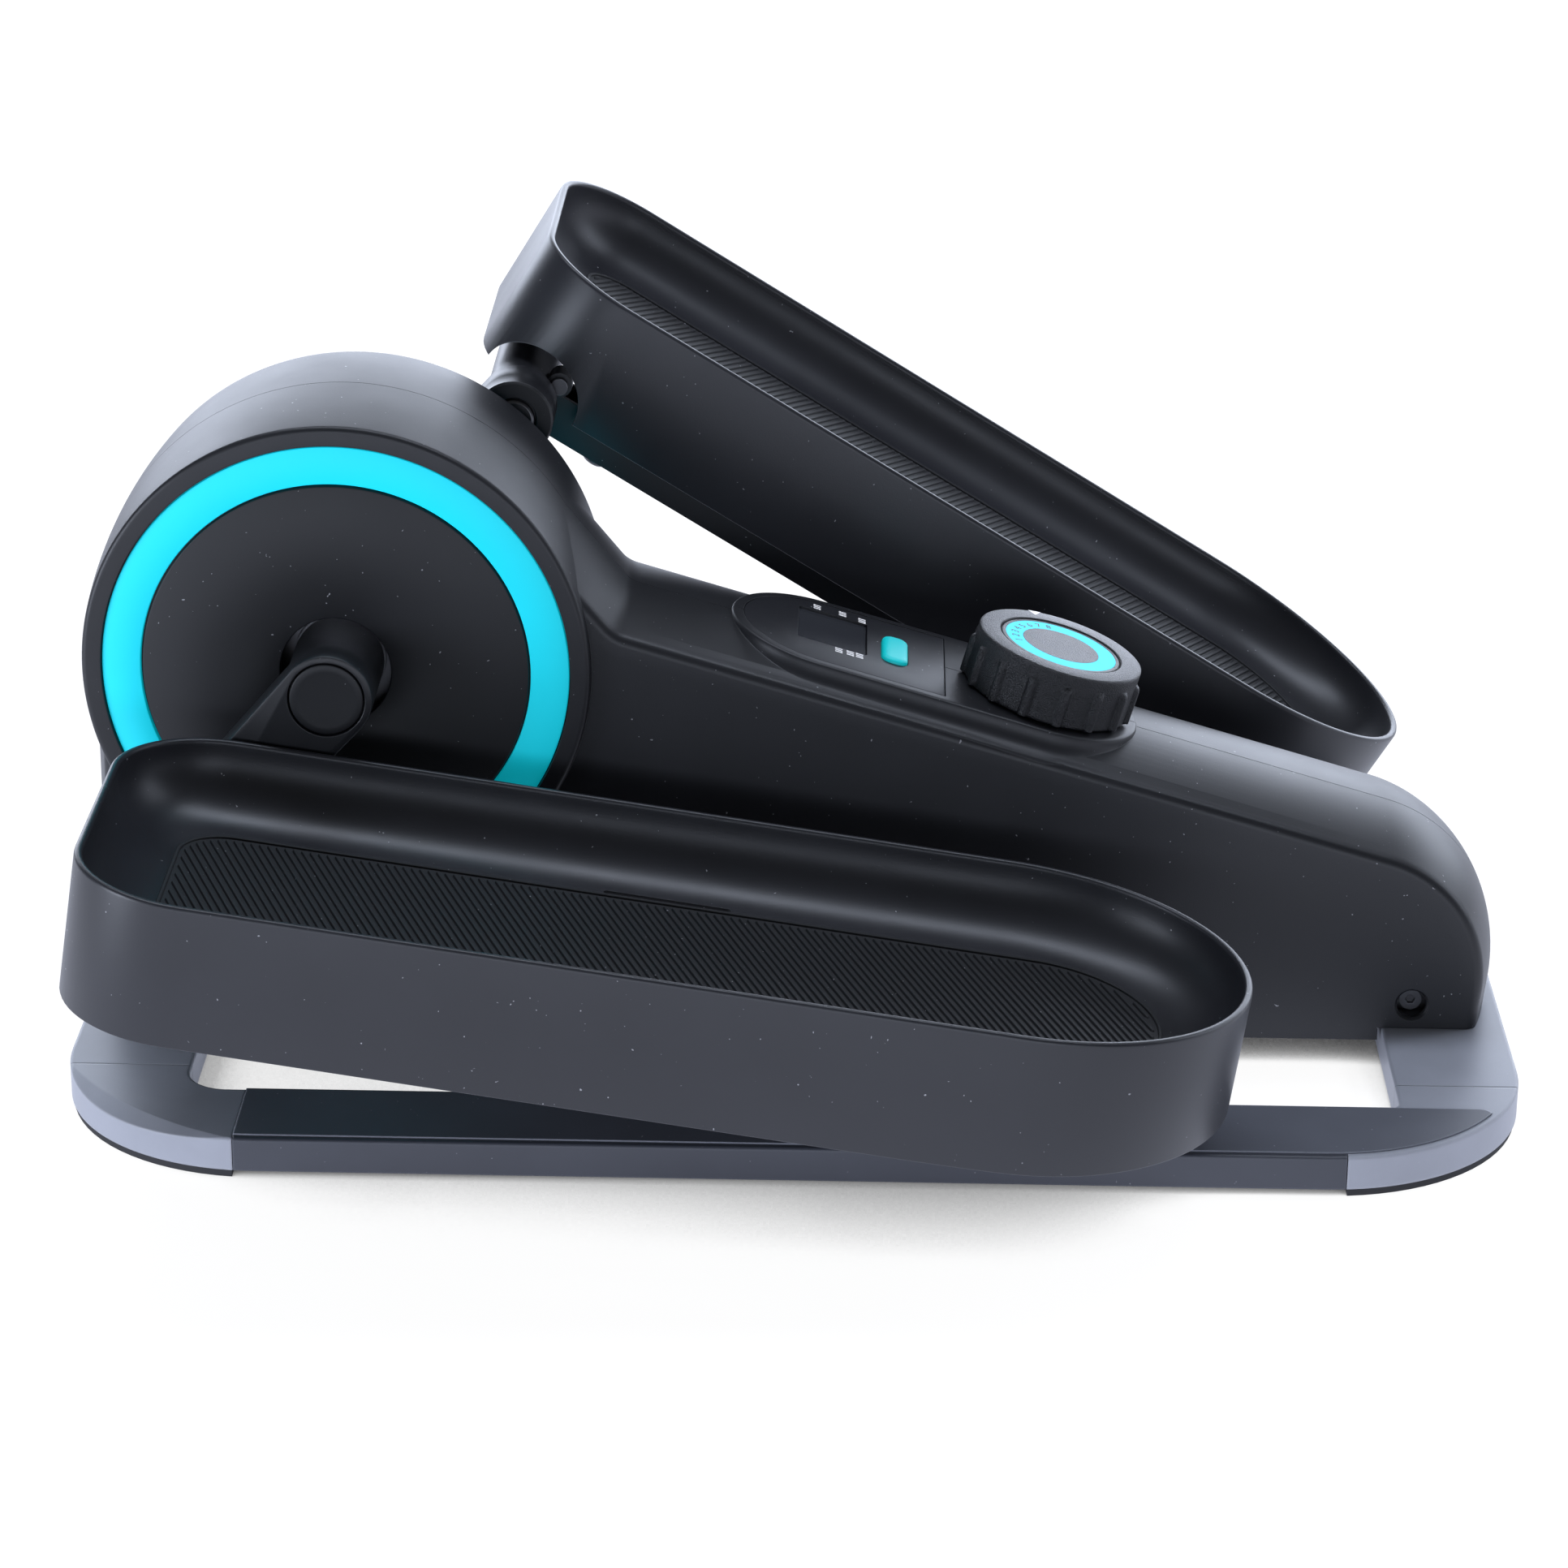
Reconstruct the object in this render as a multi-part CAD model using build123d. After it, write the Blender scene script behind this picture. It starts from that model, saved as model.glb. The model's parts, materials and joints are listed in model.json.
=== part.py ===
from build123d import *

import os
from math import asin, atan, cos, degrees, hypot, pi, radians, sin, tan

os.makedirs("parts", exist_ok=True)

# Under-desk pedal exerciser, millimetres. +Z is up, +X points to the heel end where the user sits,
# and +Y is the user's right-hand side. The origin is on the floor at the middle of the base.

# Base loop
BASE_LENGTH = 552.0
BASE_WIDTH = 322.0
BASE_RADIUS = 79.0
BASE_TOP = 16.0
FOOT_HEIGHT = 3.0
CROSS_WIDTH = 48.0
RAIL_WIDTH = 43.0
RAIL_SEAM_X = 204.5
CROSS_SEAM_Y = 98.0
SEAM = 0.3
PLATE_THICKNESS = 1.0
BASE_SCREW_X = 257.0

# Drum and housing
AXLE_X = -174.8
AXLE_Z = 158.8
DRUM_RADIUS = 98.5
DRUM_HALF = 51.5
BODY_HALF = 46.0
WALL = 3.0
HOUSING_BOTTOM = 11.0
RING_OUTER = 88.4
RING_INNER = 73.8
RING_FACE = 50.6
HUB_OPENING = 21.0
NECK_CORNER = (-65.5, 179.5)
BACK_SLOPE = 0.2905
HEEL_RADIUS = 60.0

# Cranks
CRANK_RADIUS = 90.0
CRANK_ANGLE = 228.2
CRANK_OUTER = 82.0
CRANK_THICKNESS = 15.0
CRANK_HUB = 17.2
CRANK_END = 15.5
CRANK_BOSS = 10.0
SPINDLE_RADIUS = 8.5
RUNNING_GAP = 0.03

# Pedals, in the tray's own frame: u from its front end to its heel, v across, n up from the rim plane
TRAY_LENGTH = 419.3
TRAY_HALF = 80.0
TRAY_CENTRE_Y = 164.3
TRAY_CORNER = 42.0
TRAY_HEEL = 85.8
TRAY_WALL = 3.0
SKIRT_DEPTH = 53.0
BOWL_DEPTH = 27.0
COVE_RADIUS = 24.0
PIN_U = 22.0
PIN_N = -55.1
ROLLER_U = 380.1
ROLLER_N = -58.2
ROLLER_AXLE_Z = 35.9
ROLLER_Y = 126.0
ROLLER_WIDTH = 14.0
ROLLER_AXLE_RADIUS = 4.0
LINK_BARREL_RADIUS = 13.5
LINK_BARREL_ENDS = (20.0, 79.6)
LINK_SIDES = (44.3, 68.3)
LINK_LEVELS = (-65.0, -48.0)
LINK_WALL = 2.5
CLAMP_CENTRE = (32.9, -41.9)
STUD_US = (62.5, 330.0)
STUD_V = 56.3

# Console and knob, along the sloping back
CONSOLE_X = 55.5
PLATFORM_HEIGHT = 1.5
PLATFORM_HALF = 36.5
CONSOLE_LENGTH = 81.0
CONSOLE_HALF = 32.5
CONSOLE_THICKNESS = 2.4
KNOB_S = 40.5
KNOB_TOP_RADIUS = 33.0
KNOB_BASE_RADIUS = 34.6
KNOB_HEIGHT = 21.5
STEM_RADIUS = 3.3
STEM_END = -26.0

# Drive train
PULLEY_RADIUS = 68.0
SMALL_PULLEY_RADIUS = 16.0
BELT_WIDTH = 12.0
BELT_THICKNESS = 2.4
BELT_GAP = 0.3
FLYWHEEL_X = 30.0
FLYWHEEL_Z = 78.0
FLYWHEEL_RADIUS = 50.0
PLATE_Y = 30.0
PIVOT_X = 96.0
PIVOT_Z = 50.0

LEFT, RIGHT = -1, 1
SIDE_NAME = {LEFT: "left", RIGHT: "right"}


def save(name, shape):
    shape.label = name
    export_step(shape, f"parts/{name}.step")


def box_between(low, high):
    size = [b - a for a, b in zip(low, high)]
    centre = [(a + b) / 2 for a, b in zip(low, high)]
    return Pos(*centre) * Box(*size)


def cylinder_y(radius, y0, y1, x=0.0, z=0.0):
    """A round bar along Y between two heights."""
    return Pos(x, (y0 + y1) / 2, z) * Rot(90, 0, 0) * Cylinder(radius, abs(y1 - y0))


def ring_y(outer, inner, y0, y1, x=0.0, z=0.0):
    return cylinder_y(outer, y0, y1, x, z) - cylinder_y(inner, y0, y1, x, z)


def mirrored(side, shape):
    """Shapes are drawn for the left side, at -Y."""
    return shape if side == LEFT else mirror(shape, about=Plane.XZ)


def group(solids):
    """Identical fasteners share one node as separate solids."""
    return Compound(children=list(solids))


# ---------------------------------------------------------------- base loop

def base_outline(inset):
    return RectangleRounded(BASE_LENGTH - 2 * inset, BASE_WIDTH - 2 * inset, BASE_RADIUS - inset)


def base_opening():
    """The floor opening: generously rounded corners in front, tight ones at the heel."""
    half_x = BASE_LENGTH / 2 - CROSS_WIDTH
    half_y = BASE_WIDTH / 2 - RAIL_WIDTH
    opening = Rectangle(2 * half_x, 2 * half_y)
    front = opening.vertices().filter_by(lambda v: v.X < 0)
    opening = fillet(front, 16)
    rear = opening.vertices().filter_by(lambda v: v.X > half_x - 1)
    return fillet(rear, 6)


def base_loop():
    """The whole loop before it is divided at its seams, with a softened upper edge."""
    loop = extrude(base_outline(0) - base_opening(), BASE_TOP - FOOT_HEIGHT)
    loop = Pos(0, 0, FOOT_HEIGHT) * loop
    top = loop.faces().sort_by(Axis.Z)[-1]
    return fillet(top.edges(), 1.2)


def corner_bevel():
    """A shallow cone that shaves the outer top of a corner and runs out at both seams."""
    arc_x, arc_y = BASE_LENGTH / 2 - BASE_RADIUS, BASE_WIDTH / 2 - BASE_RADIUS
    x0, y0 = -arc_x - (BASE_RADIUS ** 2 - (CROSS_SEAM_Y - arc_y) ** 2) ** 0.5, -CROSS_SEAM_Y
    x1, y1 = -RAIL_SEAM_X, -arc_y - (BASE_RADIUS ** 2 - (RAIL_SEAM_X - arc_x) ** 2) ** 0.5
    chord = hypot(x1 - x0, y1 - y0)
    sagitta = 8.0
    radius = (chord ** 2 / 4 + sagitta ** 2) / (2 * sagitta)
    along = ((x1 - x0) / chord, (y1 - y0) / chord)
    inward = (-along[1], along[0])
    reach = radius - sagitta
    centre = ((x0 + x1) / 2 + inward[0] * reach, (y0 + y1) / 2 + inward[1] * reach)
    span, drop = 40.0, 13.0
    profile = Polyline((0, -1), (radius + span, -1), (radius + span, BASE_TOP - drop),
                       (radius, BASE_TOP), (0, BASE_TOP), close=True)
    return Pos(centre[0], centre[1], 0) * revolve(Plane.XZ * make_face(profile), Axis.Z)


def plate_region(y_side):
    """Where a track plate lies: along the rail and round into the heel corner."""
    strip = box_between((-RAIL_SEAM_X, BASE_WIDTH / 2 - RAIL_WIDTH + 0.8, 0),
                        (262, BASE_WIDTH / 2, 40))
    end = strip.edges().filter_by(Axis.Z).sort_by(Axis.X)[-2:].sort_by(Axis.Y)[0]
    strip = fillet(end, 5)
    return mirrored(-y_side, strip)


def build_base():
    loop = base_loop()
    half_x, half_y = BASE_LENGTH / 2, BASE_WIDTH / 2
    gap = SEAM / 2
    plate_slab = Pos(0, 0, BASE_TOP - PLATE_THICKNESS) * extrude(base_outline(3.0), PLATE_THICKNESS + 0.6)
    plates = {side: plate_slab & plate_region(side) for side in (LEFT, RIGHT)}
    inner_cross = half_x - CROSS_WIDTH - 2

    for name, sign in (("front", -1), ("rear", 1)):
        low = min(sign * inner_cross, sign * half_x)
        high = max(sign * inner_cross, sign * half_x)
        cover = loop & box_between((low, -CROSS_SEAM_Y + gap, 0), (high, CROSS_SEAM_Y - gap, 40))
        save(f"{name}_cross_cover", cover - Pos(sign * BASE_SCREW_X, 0, 0) * Cylinder(3.2, 60))

    bevel = corner_bevel()
    for x_name, x_sign in (("front", -1), ("rear", 1)):
        for side in (LEFT, RIGHT):
            corner = loop & box_between((-half_x, -half_y, 0), (-RAIL_SEAM_X - gap, -CROSS_SEAM_Y - gap, 40))
            if x_sign < 0:
                corner = corner & bevel
            else:
                corner = mirror(loop, about=Plane.YZ) & box_between(
                    (-half_x, -half_y, 0), (-RAIL_SEAM_X - gap, -CROSS_SEAM_Y - gap, 40))
                corner = mirror(corner, about=Plane.YZ) - plates[LEFT]
            save(f"{x_name}_{SIDE_NAME[side]}_corner_cover", mirrored(side, corner))

    for side in (LEFT, RIGHT):
        low = (-RAIL_SEAM_X + gap, -half_y, 0)
        high = (RAIL_SEAM_X - gap, -half_y + RAIL_WIDTH + 2, 40)
        rail = mirrored(side, loop & box_between(low, high)) - plates[side]
        save(f"{SIDE_NAME[side]}_side_rail", rail)
        save(f"{SIDE_NAME[side]}_track_plate", plates[side])

    foot_slab = extrude(base_outline(0.8) - offset(base_opening(), 1.5), FOOT_HEIGHT)
    foot = foot_slab & box_between((-half_x, -half_y, 0), (-RAIL_SEAM_X - 0.5, -CROSS_SEAM_Y, 5))
    rear_foot = mirror(mirror(foot_slab, about=Plane.YZ) & box_between(
        (-half_x, -half_y, 0), (-RAIL_SEAM_X - 0.5, -CROSS_SEAM_Y, 5)), about=Plane.YZ)
    feet = [mirrored(side, f) for side in (LEFT, RIGHT) for f in (foot, rear_foot)]
    feet += [Pos(x, y, FOOT_HEIGHT / 2) * Box(10, 14, FOOT_HEIGHT) for x in (-197, 197) for y in (-145, 145)]
    save("rubber_feet", group(feet))


# ---------------------------------------------------------------- housing

def shifted_polygon(points, shift):
    """Move every edge of a clockwise polygon inward by the same distance."""
    lines = []
    for i, (x0, z0) in enumerate(points):
        x1, z1 = points[(i + 1) % len(points)]
        dx, dz = x1 - x0, z1 - z0
        length = hypot(dx, dz)
        lines.append((x0 + dz / length * shift, z0 - dx / length * shift, dx, dz))
    moved = []
    for i, (bx, bz, bdx, bdz) in enumerate(lines):
        ax, az, adx, adz = lines[i - 1]
        t = ((bx - ax) * bdz - (bz - az) * bdx) / (adx * bdz - adz * bdx)
        moved.append((ax + adx * t, az + adz * t))
    return moved


def back_height(x):
    return NECK_CORNER[1] - BACK_SLOPE * (x - NECK_CORNER[0])


# Side view of foot, neck, back and heel, clockwise; the two upper front points lie inside the drum
HEEL_CORNER = (278.6, back_height(278.6))
PROFILE = [(-272.5, -20.0), (-272.5, 150.0), (-97.0, 217.6), NECK_CORNER, HEEL_CORNER, (269.6, -20.0)]
# The back is crowned: from the centre seam outward each strip (width, slope) falls away more steeply
CROWN = [(16.0, 3.5), (16.0, 10.0), (14.0, 16.0)]
DRUM_CROWN = [(0.0, DRUM_RADIUS), (16.0, 98.3), (32.0, 97.6), (48.0, 96.4)]


def side_profile(y, shift):
    points = shifted_polygon(PROFILE, shift)
    sketch = Plane.XZ.offset(-y) * make_face(Polyline(*points, close=True))
    corners = sketch.vertices()
    neck = corners.sort_by_distance((points[3][0], y, points[3][1]))[0]
    sketch = fillet(neck, 6 + shift)
    heel = sketch.vertices().sort_by_distance((points[4][0], y, points[4][1]))[0]
    return fillet(heel, HEEL_RADIUS - shift)


def crowned_body(inset, half, bottom):
    """The left half of foot, neck and back as one crowned solid, with everything moved in by inset."""
    body, fall, y = None, 0.0, 0.0
    for width, slope in CROWN:
        width = min(width, half - y)
        strip = extrude(side_profile(-y, inset + fall), width, taper=slope)
        body = strip if body is None else body + strip
        fall += width * tan(radians(slope))
        y += width
    return body - box_between((-400, -60, -60), (400, 10, bottom))


def drum_half(inset, half, edge):
    """The left half of the crowned drum, with a softened outer edge."""
    points = [(radius - inset, -min(y, half)) for y, radius in DRUM_CROWN]
    rim = DRUM_CROWN[-1][1] - inset
    points += [(rim, -half + edge), (rim - edge, -half), (0, -half), (0, 0)]
    face = make_face(Polyline(*points, close=True))
    return Pos(AXLE_X, 0, AXLE_Z) * revolve(face, Axis.Y)


def slope_plane(s, height):
    """A plane on the sloping back: s down the slope from the console's heel edge, height off the crown."""
    angle = atan(BACK_SLOPE)
    origin = (CONSOLE_X + s * cos(angle) + height * sin(angle), 0,
              back_height(CONSOLE_X) - s * sin(angle) + height * cos(angle))
    return Plane(origin=origin, x_dir=(cos(angle), 0, -sin(angle)), z_dir=(sin(angle), 0, cos(angle)))


def on_slope(s, y, height, sketch, thickness):
    return slope_plane(s, height) * extrude(Pos(0, y) * sketch, thickness)


def platform_outline(grow):
    """The raised pill that carries console and knob."""
    front = Pos(-49, 0) * Circle(PLATFORM_HALF + grow)
    knob_end = Pos(KNOB_S, 0) * Circle(PLATFORM_HALF + 1.5 + grow)
    straight = Pos(-49 / 2 + KNOB_S / 2, 0) * Rectangle(KNOB_S + 49, 2 * (PLATFORM_HALF + grow))
    return front + straight + knob_end


def console_outline(shrink):
    """A plate with one rounded end and one straight end."""
    radius = CONSOLE_HALF - shrink
    round_end = Pos(-CONSOLE_LENGTH + CONSOLE_HALF, 0) * Circle(radius)
    length = CONSOLE_LENGTH - CONSOLE_HALF - shrink
    return round_end + Pos(-shrink - length / 2, 0) * Rectangle(length, 2 * radius)


# Side screws of the housing, (x, z): they pass a boss in the shell and enter the centre beam
HOUSING_SCREWS = [(239.2, 26.0), (-240.0, 28.0)]
BEAM_HALF = 28.0


def housing_half():
    body = crowned_body(0, BODY_HALF, HOUSING_BOTTOM)
    side = body.faces().sort_by(Axis.Y)[0]
    body = fillet([e for e in side.edges() if e.center().Z > HOUSING_BOTTOM + 1], 4.5)
    shell = body + drum_half(0, DRUM_HALF, 2.2)
    platform = slope_plane(0, -14) * extrude(platform_outline(3.0), 14 + PLATFORM_HEIGHT, taper=14)
    shell = shell + (platform & box_between((-300, -80, 0), (300, 0, 400)))

    cavity = crowned_body(WALL, BODY_HALF - WALL, HOUSING_BOTTOM + WALL)
    shell = shell - cavity - drum_half(WALL, DRUM_HALF - 6, 0.5)

    shell = shell - cylinder_y(RING_OUTER + 0.5, -60, -DRUM_HALF + 3.5, AXLE_X, AXLE_Z)
    shell = shell - cylinder_y(HUB_OPENING + 2, -60, -30, AXLE_X, AXLE_Z)
    recess = slope_plane(0, PLATFORM_HEIGHT - CONSOLE_THICKNESS) * extrude(console_outline(-0.2), 10)
    opening = slope_plane(0, -12) * extrude(console_outline(3.5), 20)
    shaft_hole = slope_plane(KNOB_S, -14) * extrude(Circle(8.0), 30)
    shell = shell - recess - opening - shaft_hole

    strut = on_slope(KNOB_S, -22, STEM_END + 2.1, Rectangle(14, 44), 4.0) & cavity
    shell = shell + (strut - on_slope(KNOB_S, 0, -40, Circle(STEM_RADIUS), 40))

    for x, z in HOUSING_SCREWS:
        boss = cylinder_y(8.5, -BODY_HALF + 1, -BEAM_HALF - 0.1, x, z)
        shell = shell + (boss & cavity)
        shell = shell - cylinder_y(6.0, -60, -BODY_HALF + 9, x, z) - cylinder_y(2.4, -60, 5, x, z)
    for sign in (-1, 1):
        low, high = sorted((sign * (BASE_LENGTH / 2 - CROSS_WIDTH - 1.5), sign * 300))
        shell = shell - box_between((low, -60, 0), (high, 5, BASE_TOP + 0.2))
    return shell - box_between((-400, -SEAM / 2, 0), (400, 10, 400))


def build_housing():
    shell = housing_half()
    ring = ring_y(RING_OUTER, RING_INNER, -RING_FACE, -DRUM_HALF + 3.5, AXLE_X, AXLE_Z)
    ring = chamfer(ring.edges().filter_by(lambda e: e.center().Y < -RING_FACE + 0.1), 0.4)
    disc = ring_y(RING_INNER - 0.7, HUB_OPENING, -RING_FACE - 0.2, -DRUM_HALF + 3.5, AXLE_X, AXLE_Z)
    disc = chamfer(disc.edges().filter_by(lambda e: e.center().Y < -RING_FACE - 0.1), 0.5)
    for side in (LEFT, RIGHT):
        save(f"{SIDE_NAME[side]}_housing_shell", mirrored(side, shell))
        save(f"{SIDE_NAME[side]}_accent_ring", mirrored(side, ring))
        save(f"{SIDE_NAME[side]}_side_disc", mirrored(side, disc))
    screws = []
    for x, z in HOUSING_SCREWS:
        screw = cylinder_y(4.4, -BODY_HALF + 5.6, -BODY_HALF + 9, x, z)
        screw = screw + cylinder_y(2.2, -BODY_HALF + 8, -BEAM_HALF + 3, x, z)
        socket = Pos(x, -BODY_HALF + 5.6, z) * Rot(90, 0, 0) * extrude(RegularPolygon(1.9, 6), 2.2, both=True)
        screws += [mirrored(side, screw - socket) for side in (LEFT, RIGHT)]
    save("housing_screws", group(screws))


# ---------------------------------------------------------------- console and knob

WINDOW_S, WINDOW_Y = -45.3, 5.3
BUTTON_S, BUTTON_Y = -20.2, 0.5


def build_console():
    top = PLATFORM_HEIGHT
    plate = slope_plane(0, top - CONSOLE_THICKNESS) * extrude(console_outline(0), CONSOLE_THICKNESS)
    outward = Axis((0, 0, 0), slope_plane(0, 0).z_dir)
    upper = plate.faces().sort_by(outward)[-1]
    plate = chamfer(upper.edges(), 0.35)
    window_hole = on_slope(WINDOW_S, WINDOW_Y, -5, RectangleRounded(27.8, 35.6, 1.2), 12)
    button_hole = on_slope(BUTTON_S, BUTTON_Y, -5, RectangleRounded(11.0, 27.4, 4.6), 12)
    save("console_plate", plate - window_hole - button_hole)
    lens = on_slope(WINDOW_S, WINDOW_Y, top - 2.2, RectangleRounded(27.4, 35.2, 1.0), 1.2)
    save("display_window", lens)
    glass = on_slope(WINDOW_S, WINDOW_Y, top - 8.0, Rectangle(25, 33), 5.6)
    board = on_slope(-42, 0, top - 9.6, RectangleRounded(66, 50, 3), 1.6)
    switch = on_slope(BUTTON_S, BUTTON_Y, top - 8.0, Rectangle(6, 6), 3.2)
    save("display_module", glass + board + switch)
    button = on_slope(BUTTON_S, BUTTON_Y, top - 2.6, RectangleRounded(10.4, 26.8, 4.3), 4.4)
    crown = button.faces().sort_by(outward)[-1]
    button = fillet(crown.edges(), 1.5)
    stem = on_slope(BUTTON_S, BUTTON_Y, top - 3.8, Rectangle(4, 8), 2.0)
    save("mode_button", button + stem)
    holder = on_slope(-44, 0, -25.5, RectangleRounded(56, 20, 2), 11.0)
    holder = holder - on_slope(-44, 0, -24.0, RectangleRounded(53, 17, 1.5), 12)
    save("battery_holder", holder)
    cell = slope_plane(-44, -16.9) * Rot(0, 90, 0) * Cylinder(7.0, 50)
    save("battery_cell", cell)


def standing(radius, low, high):
    return Pos(0, 0, (low + high) / 2) * Cylinder(radius, high - low)


def build_knob():
    """The tension knob: a flared grip with rounded ribs turns round a dial held still by its stem."""
    base = PLATFORM_HEIGHT + 0.6
    seat = slope_plane(KNOB_S, base)
    profile = Polyline((0, 0), (KNOB_BASE_RADIUS - 1.6, 0), (KNOB_TOP_RADIUS - 1.6, KNOB_HEIGHT),
                       (0, KNOB_HEIGHT), close=True)
    grip = revolve(Plane.XZ * make_face(profile), Axis.Z)
    rib_top = KNOB_HEIGHT - 4.5
    rib = Pos(KNOB_TOP_RADIUS - 1.9, 0, rib_top / 2) * Cylinder(2.1, rib_top)
    rib = rib + Pos(KNOB_TOP_RADIUS - 1.9, 0, rib_top) * Sphere(2.1)
    lean = degrees(atan((KNOB_BASE_RADIUS - KNOB_TOP_RADIUS) / KNOB_HEIGHT))
    rib = Pos(KNOB_BASE_RADIUS - KNOB_TOP_RADIUS, 0, 0) * Rot(0, -lean, 0) * rib
    ribs = [Rot(0, 0, a) * rib for a in range(0, 360, 24)]
    grip = grip + ribs
    grip = grip & Cylinder(60, KNOB_HEIGHT, align=(Align.CENTER, Align.CENTER, Align.MIN))
    edge = grip.faces().sort_by(Axis.Z)[-1]
    grip = fillet(edge.edges(), 1.4)
    grip = grip - standing(24.3, KNOB_HEIGHT - 1.7, KNOB_HEIGHT + 1)
    grip = grip - standing(6.0, -1, KNOB_HEIGHT - 4) - standing(STEM_RADIUS + 0.4, -1, KNOB_HEIGHT)
    grip = grip - (standing(KNOB_BASE_RADIUS - 4, -1, 14) - standing(9.0, -1, 14))
    save("tension_knob", seat * grip)
    disc = standing(23.9, KNOB_HEIGHT - 1.3, KNOB_HEIGHT - 0.4) + standing(STEM_RADIUS, STEM_END, KNOB_HEIGHT - 1)
    inlay = standing(22.3, KNOB_HEIGHT - 0.8, KNOB_HEIGHT - 0.4) - standing(14.5, 0, KNOB_HEIGHT + 1)
    save("dial_disc", seat * (disc - inlay))
    save("dial_ring", seat * inlay)
    sleeve = standing(6.0, -19, KNOB_HEIGHT - 4) + Pos(3.5, 0, 0) * standing(11, -19, -14)
    save("knob_sleeve", seat * (sleeve - standing(STEM_RADIUS + 0.06, -30, KNOB_HEIGHT)))


# ---------------------------------------------------------------- drive train

def belt_shape(grow):
    """The loop round both pulleys in side view, with its inner surface grown by the given amount."""
    r1, r2 = PULLEY_RADIUS + grow, SMALL_PULLEY_RADIUS + grow
    dx, dz = FLYWHEEL_X - AXLE_X, FLYWHEEL_Z - AXLE_Z
    length = hypot(dx, dz)
    tilt = degrees(atan(dz / dx))
    lean = asin((r1 - r2) / length)
    points = [(r1 * sin(lean), r1 * cos(lean)), (length + r2 * sin(lean), r2 * cos(lean)),
              (length + r2 * sin(lean), -r2 * cos(lean)), (r1 * sin(lean), -r1 * cos(lean))]
    shape = make_face(Polyline(*points, close=True)) + Circle(r1) + Pos(length, 0) * Circle(r2)
    return Pos(AXLE_X, 0, AXLE_Z) * Rot(0, -tilt, 0) * (Plane.XZ * shape)


def belt_prism(grow, width):
    return extrude(belt_shape(grow), width / 2, both=True)


def drive_plate():
    """A steel side plate from the centre beam up to the spindle bearing and the flywheel axle."""
    points = [(-228, 20), (-228, 60), (AXLE_X - 34, AXLE_Z + 14), (AXLE_X, AXLE_Z + 34),
              (AXLE_X + 34, AXLE_Z + 14), (FLYWHEEL_X + 14, FLYWHEEL_Z + 26), (PIVOT_X + 14, PIVOT_Z + 16),
              (PIVOT_X + 30, 20)]
    face = make_face(Polyline(*points, close=True))
    window = Pos(-110, 72) * Rectangle(140, 50)
    window = fillet(window.vertices(), 14)
    plate = extrude(Plane.XZ * (face - window), 1.5, both=True)
    plate = plate - cylinder_y(17.5, -5, 5, AXLE_X, AXLE_Z) - cylinder_y(5.0, -5, 5, FLYWHEEL_X, FLYWHEEL_Z)
    return plate - cylinder_y(4.0, -5, 5, PIVOT_X, PIVOT_Z)


def build_drive():
    beam = box_between((-264, -BEAM_HALF, 16.4), (264, BEAM_HALF, 36.0))
    beam = beam - box_between((-265, -BEAM_HALF + 2.5, 19.0), (265, BEAM_HALF - 2.5, 40))
    holes = [Pos(sign * BASE_SCREW_X, 0, 18) * Cylinder(3.2, 20) for sign in (-1, 1)]
    holes += [cylinder_y(2.3, -60, 60, x, z) for x, z in HOUSING_SCREWS]
    save("centre_beam", beam - holes)
    screws = []
    for x in (-BASE_SCREW_X, BASE_SCREW_X):
        head = Pos(x, 0, 20.6) * Cylinder(5.5, 3.0)
        shank = Pos(x, 0, 13.0) * Cylinder(3.0, 13.0)
        screws.append(head + shank)
    for side in (LEFT, RIGHT):
        plate = Pos(0, side * PLATE_Y, 0) * drive_plate()
        save(f"{SIDE_NAME[side]}_drive_plate", plate)
    bearings = [ring_y(17.5, SPINDLE_RADIUS + RUNNING_GAP, s * PLATE_Y - 5, s * PLATE_Y + 5, AXLE_X, AXLE_Z)
                for s in (LEFT, RIGHT)]
    save("spindle_bearings", group(bearings))

    spindle = cylinder_y(SPINDLE_RADIUS, -CRANK_OUTER + 9, CRANK_OUTER - 9, AXLE_X, AXLE_Z)
    sockets = [cylinder_y(4.0, s * (CRANK_OUTER - 30), s * CRANK_OUTER, AXLE_X, AXLE_Z) for s in (LEFT, RIGHT)]
    save("crank_spindle", spindle - sockets)
    pulley = ring_y(PULLEY_RADIUS, SPINDLE_RADIUS, -BELT_WIDTH / 2, BELT_WIDTH / 2, AXLE_X, AXLE_Z)
    lighten = [Pos(AXLE_X + 42 * cos(radians(a)), 0, AXLE_Z + 42 * sin(radians(a))) * Rot(90, 0, 0)
               * Cylinder(12, 40) for a in range(0, 360, 60)]
    hub = ring_y(15, SPINDLE_RADIUS, -18, 18, AXLE_X, AXLE_Z)
    save("drive_pulley", pulley - lighten + hub)
    belt = belt_prism(BELT_GAP + BELT_THICKNESS, BELT_WIDTH - 2) - belt_prism(BELT_GAP, BELT_WIDTH)
    save("drive_belt", belt)

    bore = 5.0 + RUNNING_GAP
    wheel = ring_y(FLYWHEEL_RADIUS, bore, 10, 25, FLYWHEEL_X, FLYWHEEL_Z)
    wheel = wheel - ring_y(38, 18, 9, 13, FLYWHEEL_X, FLYWHEEL_Z) - ring_y(38, 18, 22, 26, FLYWHEEL_X, FLYWHEEL_Z)
    wheel = wheel + ring_y(SMALL_PULLEY_RADIUS, bore, -7, 12, FLYWHEEL_X, FLYWHEEL_Z)
    save("flywheel", wheel)
    save("flywheel_axle", cylinder_y(5.0, -38, 38, FLYWHEEL_X, FLYWHEEL_Z))
    save("base_screws", group(screws))


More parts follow.
